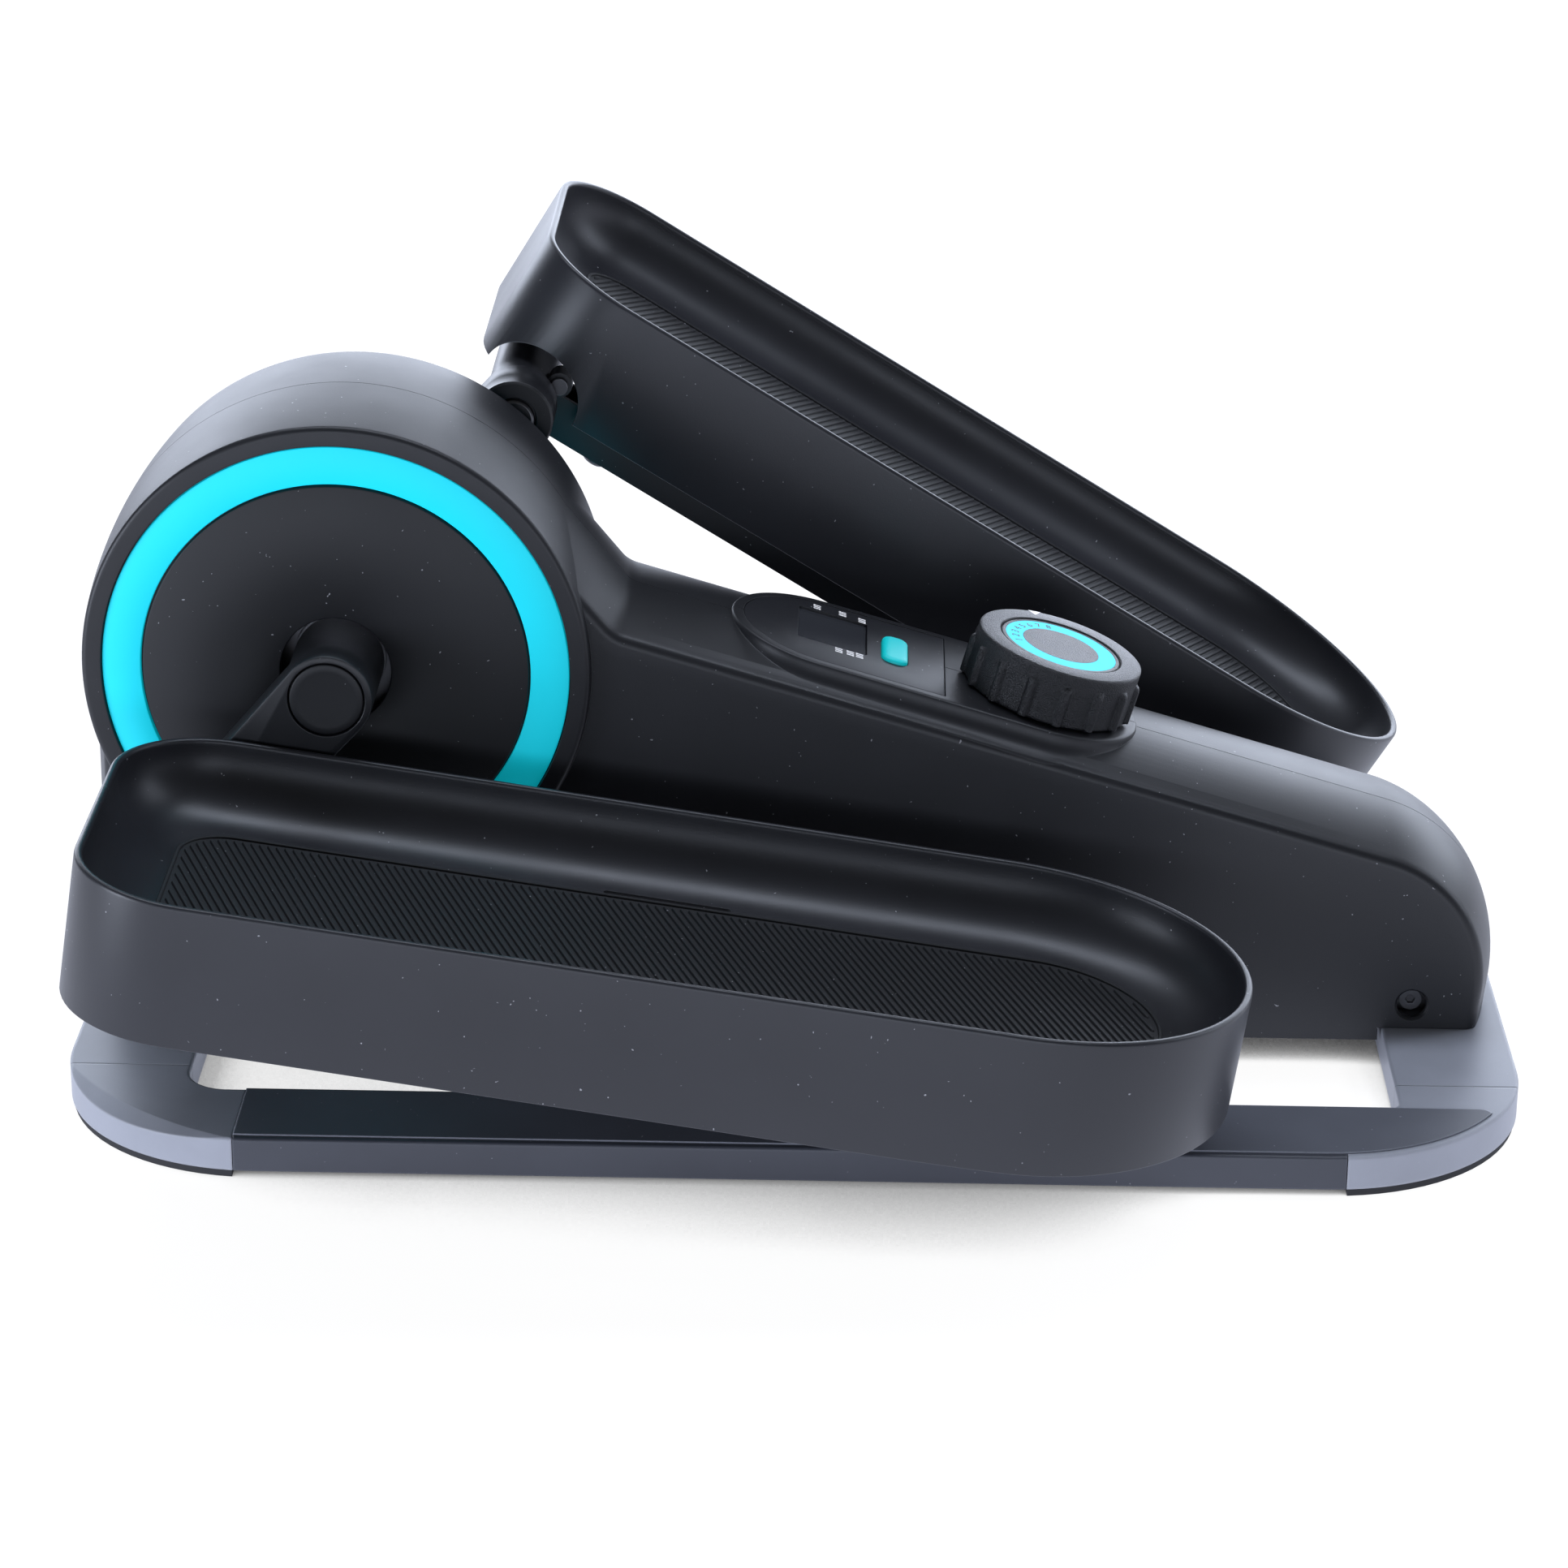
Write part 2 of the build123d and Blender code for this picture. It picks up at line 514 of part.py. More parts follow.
def build_brake():
    """An arc of magnets that swings about a pin, nearer to or further from the flywheel rim."""
    inner, outer = FLYWHEEL_RADIUS + 5.0, FLYWHEEL_RADIUS + 11.0
    arc = ring_y(outer, inner, 8, 27, FLYWHEEL_X, FLYWHEEL_Z)
    wedge = make_face(Polyline((0, 0), (120, -62), (120, 69), close=True))
    keep = Pos(FLYWHEEL_X, 0, FLYWHEEL_Z) * extrude(Plane.XZ * wedge, 40, both=True)
    carrier = arc & keep
    arm = box_between((PIVOT_X - 14, 8, PIVOT_Z - 6), (PIVOT_X, 27, PIVOT_Z + 6)) - cylinder_y(
        outer - 1, 0, 40, FLYWHEEL_X, FLYWHEEL_Z)
    eye = cylinder_y(8, 8, 27, PIVOT_X, PIVOT_Z)
    carrier = carrier + arm + eye - cylinder_y(4.0 + RUNNING_GAP, 0, 40, PIVOT_X, PIVOT_Z)
    save("magnet_carrier", carrier)
    magnets = []
    for angle in (-17, 1, 19):
        magnet = box_between((inner - 2.0, 11, -7), (inner + 0.2, 24, 7)) - cylinder_y(100, 40, 41)
        magnets.append(Pos(FLYWHEEL_X, 0, FLYWHEEL_Z) * Rot(0, -angle, 0) * magnet)
    magnets = [m - arc for m in magnets]
    save("brake_magnets", group(magnets))
    save("magnet_pivot_pin", cylinder_y(4.0, -34, 34, PIVOT_X, PIVOT_Z))


# ---------------------------------------------------------------- cranks

def crank_end(side):
    angle = radians(CRANK_ANGLE + (0 if side == LEFT else 180))
    return AXLE_X + CRANK_RADIUS * cos(angle), AXLE_Z + CRANK_RADIUS * sin(angle)


def crank_arm(side):
    """A flat tapering arm with a long hub, drawn at -Y."""
    end_x, end_z = crank_end(side)
    inner = CRANK_OUTER - CRANK_THICKNESS
    r_end = CRANK_END
    angle = radians(CRANK_ANGLE + (0 if side == LEFT else 180))
    lean = asin((CRANK_HUB - r_end) / CRANK_RADIUS)
    points = []
    for radius, cx, cz, sign in ((CRANK_HUB, AXLE_X, AXLE_Z, 1), (r_end, end_x, end_z, 1),
                                 (r_end, end_x, end_z, -1), (CRANK_HUB, AXLE_X, AXLE_Z, -1)):
        normal = angle + sign * (pi / 2 - lean)
        points.append((cx + radius * cos(normal), cz + radius * sin(normal)))
    web = Plane.XZ.offset(inner) * extrude(make_face(Polyline(*points, close=True)), CRANK_THICKNESS)
    arm = web + cylinder_y(CRANK_HUB, -CRANK_OUTER, -38, AXLE_X, AXLE_Z)
    arm = arm + cylinder_y(r_end, -CRANK_OUTER, -inner + CRANK_BOSS, end_x, end_z)
    outer_face = arm.faces().sort_by(Axis.Y)[0]
    arm = fillet(outer_face.edges(), 1.0)
    arm = arm - cylinder_y(SPINDLE_RADIUS, -CRANK_OUTER + 9, -30, AXLE_X, AXLE_Z)
    arm = arm - cylinder_y(14.3, -CRANK_OUTER - 1, -CRANK_OUTER + 3.2, AXLE_X, AXLE_Z)
    arm = arm - cylinder_y(7.0, -CRANK_OUTER - 1, -CRANK_OUTER + 9, AXLE_X, AXLE_Z)
    boss_face = -inner + CRANK_BOSS
    arm = arm - cylinder_y(8.9, boss_face - 3, boss_face + 1, end_x, end_z)
    return arm - cylinder_y(6.1, -CRANK_OUTER - 1, boss_face + 1, end_x, end_z)


def build_cranks():
    caps, bolts, pin_nuts = [], [], []
    for side in (LEFT, RIGHT):
        end_x, end_z = crank_end(side)
        save(f"{SIDE_NAME[side]}_crank_arm", mirrored(side, crank_arm(side)))
        cap = cylinder_y(13.9, -CRANK_OUTER + 0.1, -CRANK_OUTER + 3.2, AXLE_X, AXLE_Z)
        cap = fillet(cap.edges().sort_by(Axis.Y)[0], 0.7)
        caps.append(mirrored(side, cap))
        bolt = cylinder_y(6.6, -CRANK_OUTER + 4, -CRANK_OUTER + 9, AXLE_X, AXLE_Z)
        bolt = bolt + cylinder_y(3.9, -CRANK_OUTER + 8, -CRANK_OUTER + 28, AXLE_X, AXLE_Z)
        bolts.append(mirrored(side, bolt))
        boss_face = CRANK_THICKNESS + CRANK_BOSS - CRANK_OUTER
        nut = cylinder_y(8.0, boss_face - 2.6, boss_face + 0.8, end_x, end_z)
        nut = chamfer(nut.edges().sort_by(Axis.Y)[-1], 0.8)
        pin_nuts.append(mirrored(side, nut))
    save("crank_caps", group(caps))
    save("crank_bolts", group(bolts))
    save("crank_pin_nuts", group(pin_nuts))


# ---------------------------------------------------------------- pedals, drawn in the tray's frame

def tray_outline(inset):
    """Straight sides, softly squared front corners and an elliptical heel."""
    length = TRAY_LENGTH - inset
    half = TRAY_HALF - inset
    corner = TRAY_CORNER - inset
    heel_centre = TRAY_LENGTH - TRAY_HEEL
    front = Pos((inset + heel_centre) / 2, 0) * Rectangle(heel_centre - inset, 2 * half)
    corners = front.vertices().filter_by(lambda v: v.X < inset + 1)
    front = fillet(corners, corner)
    return front + Pos(heel_centre, 0) * Ellipse(length - heel_centre, half)


def prism(outline, low, high):
    return Pos(0, 0, low) * extrude(outline, high - low)


def rounded_bowl(inset, depth, radius):
    bowl = prism(tray_outline(inset), -depth, 1.0)
    bottom = bowl.faces().sort_by(Axis.Z)[0]
    return fillet(bottom.edges(), radius)


ROLLER_V = TRAY_CENTRE_Y - ROLLER_Y
NOTCH_CENTRE = (24.7, -54.0)
NOTCH_RADIUS = 20.7
HEEL_RISE_U = 300.0
HEEL_RISE_RADIUS = 1200.0


def stud_column(radius, low, high, u):
    return prism(Pos(u, STUD_V) * Circle(radius), low, high)


def foot_tray():
    """A bowl with a deep skirt, notched where the link's barrel comes through the inner wall."""
    tray = prism(tray_outline(0), -SKIRT_DEPTH, 0)
    rim = tray.faces().sort_by(Axis.Z)[-1]
    tray = fillet(rim.edges(), 1.2)
    tray = tray - rounded_bowl(TRAY_WALL, BOWL_DEPTH, COVE_RADIUS)
    hollow = prism(tray_outline(TRAY_WALL), -SKIRT_DEPTH - 5, -14)
    tray = tray - (hollow - rounded_bowl(TRAY_WALL - 0.2, BOWL_DEPTH + 2.5, COVE_RADIUS + 2.0))
    for v in (-53.5, 53.5):
        tray = tray - prism(Pos(208, v) * SlotOverall(48, 2.6), -40, -10)
    notch = cylinder_y(NOTCH_RADIUS, 40, 90, *NOTCH_CENTRE)
    tray = tray - (notch & box_between((-20, 45, -80), (60, 90, -20)))
    below = box_between((HEEL_RISE_U, -90, -90), (TRAY_LENGTH + 5, 90, -SKIRT_DEPTH + 20))
    rise = Pos(HEEL_RISE_U, 0, HEEL_RISE_RADIUS - SKIRT_DEPTH) * Rot(90, 0, 0) * Cylinder(HEEL_RISE_RADIUS, 200)
    tray = tray - (below - rise)
    link_floor = LINK_LEVELS[0] + LINK_WALL
    for u in STUD_US:
        tray = tray + stud_column(6.5, link_floor + 0.1, -BOWL_DEPTH - 1, u)
        tray = tray - stud_column(2.4, link_floor - 1, link_floor + 19, u)
    return tray


def tread_mat():
    front = Pos((28 + 345) / 2, 0) * Rectangle(345 - 28, 96)
    corners = front.vertices().filter_by(lambda v: v.X < 29)
    front = fillet(corners, 20)
    outline = front + Pos(345, 0) * Ellipse(46, 48)
    return prism(outline, -BOWL_DEPTH, -BOWL_DEPTH + 2.0)


def link_beam():
    """An open-topped channel from the crank pin to the cross block ahead of the roller."""
    low, high = LINK_LEVELS
    inner, outer = LINK_SIDES
    end = ROLLER_U - 34
    beam = box_between((PIN_U, inner, low), (end + 12, outer, high))
    beam = beam - box_between((PIN_U, inner + LINK_WALL, low + LINK_WALL), (end, outer - LINK_WALL, high + 1))
    beam = beam + box_between((end, ROLLER_V - 10.5, low), (end + 12, outer, high))
    for u in STUD_US:
        beam = beam - stud_column(2.6, low - 1, low + LINK_WALL + 1, u)
    return beam


def roller_fork():
    """Two cheeks with round ends, either side of the roller."""
    gap = ROLLER_WIDTH / 2 + 0.5
    low_n, high_n = LINK_LEVELS
    cheeks = []
    for sign in (-1, 1):
        low, high = sorted((ROLLER_V + sign * gap, ROLLER_V + sign * (gap + 3)))
        cheek = box_between((ROLLER_U - 24, low, low_n), (ROLLER_U, high, high_n - 1.2))
        cheeks.append(cheek + cylinder_y(9.0, low, high, ROLLER_U, ROLLER_N))
    return cheeks


def link_arm():
    """The steel link under the tray: a barrel round the crank pin, a channel and a fork for the roller."""
    low, high = LINK_BARREL_ENDS
    barrel = cylinder_y(LINK_BARREL_RADIUS, low, high, PIN_U, PIN_N)
    groove = ring_y(LINK_BARREL_RADIUS + 2, LINK_BARREL_RADIUS - 1, high - 2.4, high - 1.4, PIN_U, PIN_N)
    ear = cylinder_y(5.0, high - 13.6, high - 2.4, *CLAMP_CENTRE)
    link = link_beam() + barrel + ear - groove
    for cheek in roller_fork():
        link = link + cheek
    link = link - cylinder_y(ROLLER_AXLE_RADIUS + RUNNING_GAP, 0, 80, ROLLER_U, ROLLER_N)
    return link - cylinder_y(6.0 + RUNNING_GAP, 10, 100, PIN_U, PIN_N)


def roller_axle():
    reach = ROLLER_WIDTH / 2 + 3.5
    axle = cylinder_y(ROLLER_AXLE_RADIUS, ROLLER_V - reach - 3, ROLLER_V + reach + 3, ROLLER_U, ROLLER_N)
    for sign in (-1, 1):
        low, high = sorted((ROLLER_V + sign * (reach + 0.3), ROLLER_V + sign * (reach + 2.8)))
        axle = axle + cylinder_y(6.5, low, high, ROLLER_U, ROLLER_N)
    return axle


ROLLER_RADIUS = ROLLER_AXLE_Z - (BASE_TOP + 0.6) - 0.3


def roller():
    half = ROLLER_WIDTH / 2
    wheel = ring_y(ROLLER_RADIUS, ROLLER_AXLE_RADIUS + RUNNING_GAP, ROLLER_V - half, ROLLER_V + half,
                   ROLLER_U, ROLLER_N)
    rims = wheel.edges().filter_by(lambda e: abs(e.length - 2 * pi * ROLLER_RADIUS) < 0.5)
    wheel = fillet(rims, 1.5)
    for sign in (-1, 1):
        low, high = sorted((ROLLER_V + sign * (half - 3), ROLLER_V + sign * (half + 1)))
        wheel = wheel - ring_y(ROLLER_RADIUS - 4, 8, low, high, ROLLER_U, ROLLER_N)
    return wheel


def pedal_plane(side):
    """The tray frame's place: its pin at the crank's end and its roller axle above the rail."""
    pin_x, pin_z = crank_end(side)
    span = hypot(ROLLER_U - PIN_U, ROLLER_N - PIN_N)
    own_tilt = atan((ROLLER_N - PIN_N) / (ROLLER_U - PIN_U))
    pitch = asin((pin_z - ROLLER_AXLE_Z) / span) + own_tilt
    origin_x = pin_x - PIN_U * cos(pitch) - PIN_N * sin(pitch)
    origin_z = pin_z + PIN_U * sin(pitch) - PIN_N * cos(pitch)
    return Plane(origin=(origin_x, -TRAY_CENTRE_Y, origin_z), x_dir=(cos(pitch), 0, -sin(pitch)),
                 z_dir=(sin(pitch), 0, cos(pitch)))


def build_pedals():
    pin_head = TRAY_CENTRE_Y - CRANK_OUTER - 0.35
    low, high = LINK_BARREL_ENDS
    pin = cylinder_y(6.0, low - 2, pin_head, PIN_U, PIN_N)
    pin = pin + cylinder_y(9.5, high + 0.3, pin_head, PIN_U, PIN_N)
    pin = pin + cylinder_y(8.5, low - 4, low - 0.8, PIN_U, PIN_N)
    pieces = {
        "foot_tray": foot_tray(), "tread_mat": tread_mat(), "link_arm": link_arm(), "pedal_pin": pin,
        "roller_axle": roller_axle(), "roller": roller(),
    }
    link_low = LINK_LEVELS[0]
    screws = [cylinder_y(3.4, high - 2.0, high + 0.8, *CLAMP_CENTRE)]
    for u in STUD_US:
        head = stud_column(5.4, link_low - 3.8, link_low - 0.1, u)
        head = fillet(head.faces().sort_by(Axis.Z)[0].edges(), 2.6)
        screws.append(head + stud_column(2.3, link_low - 1, link_low + 19, u))
    for side in (LEFT, RIGHT):
        place = pedal_plane(side)
        for piece, shape in pieces.items():
            save(f"{SIDE_NAME[side]}_{piece}", mirrored(side, place * shape))
        save(f"{SIDE_NAME[side]}_pedal_screws", group([mirrored(side, place * s) for s in screws]))


build_base()
build_housing()
build_console()
build_knob()
build_drive()
build_brake()
build_cranks()
build_pedals()
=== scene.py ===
"""Under-desk pedal exerciser: the finished look on the CAD frame.

Lengths are millimetres until they become a mesh.
"""
import json
import math

import bmesh
import bpy
import numpy as np
from mathutils import Matrix, Vector

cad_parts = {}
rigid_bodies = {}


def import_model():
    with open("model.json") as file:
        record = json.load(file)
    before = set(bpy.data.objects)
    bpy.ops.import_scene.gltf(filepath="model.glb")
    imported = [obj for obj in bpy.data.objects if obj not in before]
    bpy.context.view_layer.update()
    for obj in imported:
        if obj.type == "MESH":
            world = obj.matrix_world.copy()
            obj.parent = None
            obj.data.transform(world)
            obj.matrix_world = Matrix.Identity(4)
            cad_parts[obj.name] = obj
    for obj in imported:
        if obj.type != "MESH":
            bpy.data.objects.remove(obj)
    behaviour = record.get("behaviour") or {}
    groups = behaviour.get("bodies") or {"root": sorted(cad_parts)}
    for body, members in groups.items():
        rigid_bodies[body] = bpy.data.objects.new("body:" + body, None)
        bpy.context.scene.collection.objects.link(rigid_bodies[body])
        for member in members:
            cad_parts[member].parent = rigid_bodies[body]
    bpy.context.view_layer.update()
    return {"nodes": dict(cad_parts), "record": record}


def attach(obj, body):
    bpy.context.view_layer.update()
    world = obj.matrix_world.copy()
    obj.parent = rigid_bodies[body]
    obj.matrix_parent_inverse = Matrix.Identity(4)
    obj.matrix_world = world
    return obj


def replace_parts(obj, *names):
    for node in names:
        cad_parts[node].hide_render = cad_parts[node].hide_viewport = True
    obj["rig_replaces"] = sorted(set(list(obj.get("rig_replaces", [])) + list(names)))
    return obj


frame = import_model()

MM = 0.001
LEFT, RIGHT = -1, 1
SIDE_NAME = {LEFT: "left", RIGHT: "right"}

# Housing
AXLE_X, AXLE_Z = -174.8, 158.8
DRUM_RADIUS, DRUM_HALF = 98.5, 51.5
BODY_HALF, WALL, HOUSING_BOTTOM = 46.0, 3.0, 11.0
RING_OUTER, RING_INNER, RING_FACE = 88.4, 73.8, 50.6
RING_SEAT = DRUM_HALF - 3.5
HUB_OPENING = 21.0
NECK_X, NECK_Z, BACK_SLOPE = -65.5, 179.5, 0.2905
HEEL_X = 278.6
NECK_RADIUS, HEEL_RADIUS = 8.0, 60.0
CROWN = 0.0037
DRUM_CROWN = 0.00091
EDGE_FILLET = 4.5
SEAM = 0.3
BASE_TOP = 16.0
CROSS_INNER_X = 228.0
HOUSING_SCREWS = ((239.2, 26.0), (-240.0, 28.0))
OUTSIDE = -60.0       # a Y past the drum, where the tools that cut it start

# Cranks
CRANK_RADIUS, CRANK_ANGLE = 90.0, 228.2
CRANK_OUTER, CRANK_THICKNESS = 82.0, 15.0
CRANK_HUB, CRANK_END, CRANK_BOSS, CRANK_CAP = 17.2, 15.5, 10.0, 13.9
CAP_RECESS, SPINDLE_BORE, BOLT_BORE = 14.3, 8.5, 7.0
PIN_BORE, NUT_RECESS = 6.1, 8.9

# Pedals, in the tray's own frame
TRAY_LENGTH, TRAY_HALF, TRAY_CENTRE_Y = 419.3, 80.0, 164.3
TRAY_CORNER, TRAY_HEEL, TRAY_WALL = 42.0, 85.8, 3.0
SKIRT_DEPTH, BOWL_DEPTH, COVE = 53.0, 27.0, 24.0
FLOOR_THICKNESS = 2.5
HEEL_RISE_U, HEEL_RISE_RADIUS = 300.0, 1200.0
PIN_U, PIN_N = 22.0, -55.1
NOTCH_U, NOTCH_N, NOTCH_RADIUS = 24.7, -54.0, 20.7
LINK_FLOOR = -62.5
STUD_US, STUD_V, STUD_RADIUS, STUD_HOLE = (62.5, 330.0), 56.3, 6.5, 2.4
DRAIN_U, DRAIN_V, DRAIN_LENGTH, DRAIN_WIDTH = 208.0, 53.5, 48.0, 2.6
ROLLER_U, ROLLER_N, ROLLER_Y, ROLLER_AXLE_Z = 380.1, -58.2, 126.0, 35.9
ROLLER_V = TRAY_CENTRE_Y - ROLLER_Y
ROLLER_HALF, ROLLER_BORE, ROLLER_HUB = 7.0, 4.03, 8.0
MAT_START, MAT_HALF, MAT_CORNER = 28.0, 48.0, 20.0
MAT_HEEL_U, MAT_HEEL = 345.0, 46.0
MAT_RIB_PITCH, MAT_RIB_ANGLE = 2.9, -22.0

# Console and knob
CONSOLE_X = 55.5
PLATFORM_START, PLATFORM_HEIGHT, PLATFORM_HALF = -49.0, 1.5, 36.5
PLATFORM_FLARE = 1.5
CONSOLE_LENGTH, CONSOLE_HALF, PLATE_THICKNESS = 81.0, 32.5, 2.4
KNOB_S, KNOB_TOP_RADIUS, KNOB_BASE_RADIUS, KNOB_HEIGHT = 40.5, 33.0, 34.6, 21.5
KNOB_SEAT = PLATFORM_HEIGHT + 0.6
KNOB_RIBS = 15
SHAFT_HOLE = 8.0
WINDOW_S, WINDOW_Y, WINDOW_LENGTH, WINDOW_WIDTH = -45.3, 5.3, 27.8, 35.6
BUTTON_S, BUTTON_Y, BUTTON_LENGTH, BUTTON_WIDTH, BUTTON_CORNER = -20.2, 0.5, 10.4, 26.8, 4.3
BUTTON_GAP = 0.3
DIAL_TOP = KNOB_SEAT + KNOB_HEIGHT - 0.4
DIAL_RADIUS, DIAL_STEM, DIAL_OUTER, DIAL_INNER = 23.9, 3.3, 22.3, 15.3
DIGIT_RADIUS, DIGIT_SIZE, DIGIT_START, DIGIT_STEP = 18.4, 4.4, 202, 14


# ---------------------------------------------------------------- materials

DUST_COLOUR = (0.55, 0.55, 0.58)


def node(tree, kind, **inputs):
    """A new shader node with plain values on its inputs."""
    made = tree.nodes.new(kind)
    for key, value in inputs.items():
        made.inputs[key.replace("_", " ")].default_value = value
    return made


def ranged(tree, value, to_low, to_high, from_low=0.0, from_high=1.0):
    """value carried from one range into another, clamped."""
    change = tree.nodes.new("ShaderNodeMapRange")
    change.inputs["From Min"].default_value = from_low
    change.inputs["From Max"].default_value = from_high
    change.inputs["To Min"].default_value = to_low
    change.inputs["To Max"].default_value = to_high
    tree.links.new(value, change.inputs["Value"])
    return change.outputs["Result"]


def surface(name, base, rough, grain=1.0, grain_size=0.5, wear=0.0, dust=0.0, metallic=0.0,
            edge=0.5, mottling=0.12, coat=0.0, glow=0.0):
    """A worn, fine-grained finish: broad mottling, fine grain, dust specks and paler edges, plus painted
    light where glow is above 0: the base colour given off as though the part were a lamp.
    """
    material = bpy.data.materials.new(name)
    material.use_nodes = True
    tree = material.node_tree
    link = tree.links.new
    shader = tree.nodes["Principled BSDF"]
    shader.inputs["Base Color"].default_value = (*base, 1)
    shader.inputs["Roughness"].default_value = rough
    shader.inputs["Metallic"].default_value = metallic
    shader.inputs["Coat Weight"].default_value = coat
    # painted light: glow makes the part give off its own base colour, though it is no lamp
    shader.inputs["Emission Color"].default_value = (*base, 1)
    shader.inputs["Emission Strength"].default_value = glow
    where = tree.nodes.new("ShaderNodeTexCoord").outputs["Object"]

    broad = node(tree, "ShaderNodeTexNoise", Scale=14.0, Detail=5.0, Roughness=0.6)
    fine = node(tree, "ShaderNodeTexNoise", Scale=1.0 / (grain_size * MM), Detail=2.0)
    specks = node(tree, "ShaderNodeTexNoise", Scale=620.0, Detail=1.0)
    for noise in (broad, fine, specks):
        link(where, noise.inputs["Vector"])

    paler = ranged(tree, broad.outputs["Fac"], 1.0 - mottling, 1.0 + mottling, 0.3, 0.7)
    tone = tree.nodes.new("ShaderNodeVectorMath")
    tone.operation = "SCALE"
    tone.inputs[0].default_value = base
    link(paler, tone.inputs["Scale"])
    colour = tone.outputs["Vector"]

    rounded = tree.nodes.new("ShaderNodeBevel")
    rounded.samples = 4
    rounded.inputs["Radius"].default_value = edge * MM
    if wear > 0:
        geometry = tree.nodes.new("ShaderNodeNewGeometry")
        turn = tree.nodes.new("ShaderNodeVectorMath")
        turn.operation = "DOT_PRODUCT"
        link(rounded.outputs["Normal"], turn.inputs[0])
        link(geometry.outputs["Normal"], turn.inputs[1])
        worn = ranged(tree, turn.outputs["Value"], 0.0, wear, 0.995, 0.90)
        colour = blended(tree, worn, colour, tuple(min(1.0, c * 3 + 0.12) for c in base))
    if dust > 0:
        spot = ranged(tree, specks.outputs["Fac"], 0.0, dust, 0.785, 0.81)
        colour = blended(tree, spot, colour, DUST_COLOUR)
    link(colour, shader.inputs["Base Color"])

    sheen = ranged(tree, broad.outputs["Fac"], max(0.05, rough - 0.07), min(1.0, rough + 0.10))
    link(sheen, shader.inputs["Roughness"])

    bump = tree.nodes.new("ShaderNodeBump")
    bump.inputs["Strength"].default_value = min(1.0, 0.25 * grain)
    bump.inputs["Distance"].default_value = 0.10 * MM * grain
    link(fine.outputs["Fac"], bump.inputs["Height"])
    link(rounded.outputs["Normal"], bump.inputs["Normal"])
    link(bump.outputs["Normal"], shader.inputs["Normal"])
    return material


def blended(tree, factor, colour, other):
    """colour turned towards a plain other colour by a 0 to 1 factor."""
    mix = tree.nodes.new("ShaderNodeMix")
    mix.data_type = "RGBA"
    tree.links.new(factor, mix.inputs["Factor"])
    tree.links.new(colour, mix.inputs[6])
    mix.inputs[7].default_value = (*other, 1)
    return mix.outputs[2]


BLACK = (0.0085, 0.0090, 0.0115)
CYAN = (0.0, 0.80, 0.95)
FINISH = {
    "shell_black": surface("shell_black", BLACK, 0.43, grain=1.1, wear=0.10, dust=0.5),
    "disc_black": surface("disc_black", (0.0048, 0.0052, 0.0068), 0.48, grain=0.8, dust=0.5),
    # painted light: the cyan ring glows with its own colour (glow=0.22), though it is no lamp
    "ring_cyan": surface("ring_cyan", CYAN, 0.55, grain=0.8, mottling=0.03, glow=0.22),
    "cover_grey": surface("cover_grey", (0.345, 0.357, 0.40), 0.40, wear=0.15, dust=0.4, edge=1.4),
    "rail_black": surface("rail_black", (0.048, 0.051, 0.064), 0.36, grain=0.6, wear=0.3, dust=0.4, edge=1.0),
    "plate_grey": surface("plate_grey", (0.11, 0.116, 0.138), 0.45, grain=0.6, wear=0.9, dust=0.5, edge=0.9),
    "tray_black": surface("tray_black", (0.0180, 0.0186, 0.0228), 0.36, grain=1.0, wear=0.5, dust=0.6),
    "mat_rubber": surface("mat_rubber", (0.0085, 0.009, 0.011), 0.62, grain=0.8, dust=0.7, edge=0.25),
    "foot_rubber": surface("foot_rubber", (0.02, 0.02, 0.022), 0.75, grain=1.2),
    "link_black": surface("link_black", BLACK, 0.36, grain=0.7, wear=0.15, dust=0.4),
    "crank_black": surface("crank_black", (0.0065, 0.007, 0.009), 0.37, grain=0.6, wear=0.25, dust=0.4),
    "knob_black": surface("knob_black", (0.005, 0.0053, 0.007), 0.36, grain=4.5, grain_size=0.5, wear=0.1),
    "console_black": surface("console_black", (0.0125, 0.013, 0.0165), 0.40, grain=0.7, wear=0.12, dust=0.8),
    # painted light: the cyan key glows with its own colour (glow=0.2), though it is no lamp
    "button_cyan": surface("button_cyan", (0.0, 0.68, 0.70), 0.38, grain=0.7, mottling=0.04, glow=0.2),
    "lcd_green": surface("lcd_green", (0.030, 0.032, 0.038), 0.30, grain=0.4, mottling=0.2),
    "steel": surface("steel", (0.42, 0.42, 0.44), 0.34, grain=0.5, metallic=1.0),
    "screw_steel": surface("screw_steel", (0.10, 0.10, 0.105), 0.32, grain=0.4, metallic=1.0, wear=0.3),
    "iron": surface("iron", (0.16, 0.16, 0.165), 0.45, grain=1.5, metallic=1.0),
    "belt_rubber": surface("belt_rubber", (0.012, 0.012, 0.012), 0.7, grain=1.0),
    "magnet_chrome": surface("magnet_chrome", (0.50, 0.50, 0.52), 0.2, grain=0.2, metallic=1.0),
    "pulley_plastic": surface("pulley_plastic", (0.03, 0.03, 0.033), 0.5),
    "holder_black": surface("holder_black", (0.02, 0.02, 0.02), 0.6),
    "cell_steel": surface("cell_steel", (0.30, 0.20, 0.05), 0.35, grain=0.3, metallic=0.6),
    "roller_grey": surface("roller_grey", (0.035, 0.036, 0.042), 0.5, grain=0.8, wear=0.2),
    "window_clear": surface("window_clear", (0.034, 0.036, 0.042), 0.16, grain=0.1, mottling=0.05, coat=0.3),
    # painted light: the white marks glow with their own colour (glow=0.3), though they are no lamps
    "mark_white": surface("mark_white", (0.85, 0.85, 0.87), 0.5, grain=0.4, mottling=0.04, glow=0.3),
    "digit_dark": surface("digit_dark", (0.01, 0.012, 0.016), 0.5, grain=0.4),
}
SLOT = {part["node"]: part["material_slot"] for part in frame["record"]["subparts"]}
BODY = {name: body for body, names in frame["record"]["behaviour"]["bodies"].items() for name in names}


# ---------------------------------------------------------------- mesh building

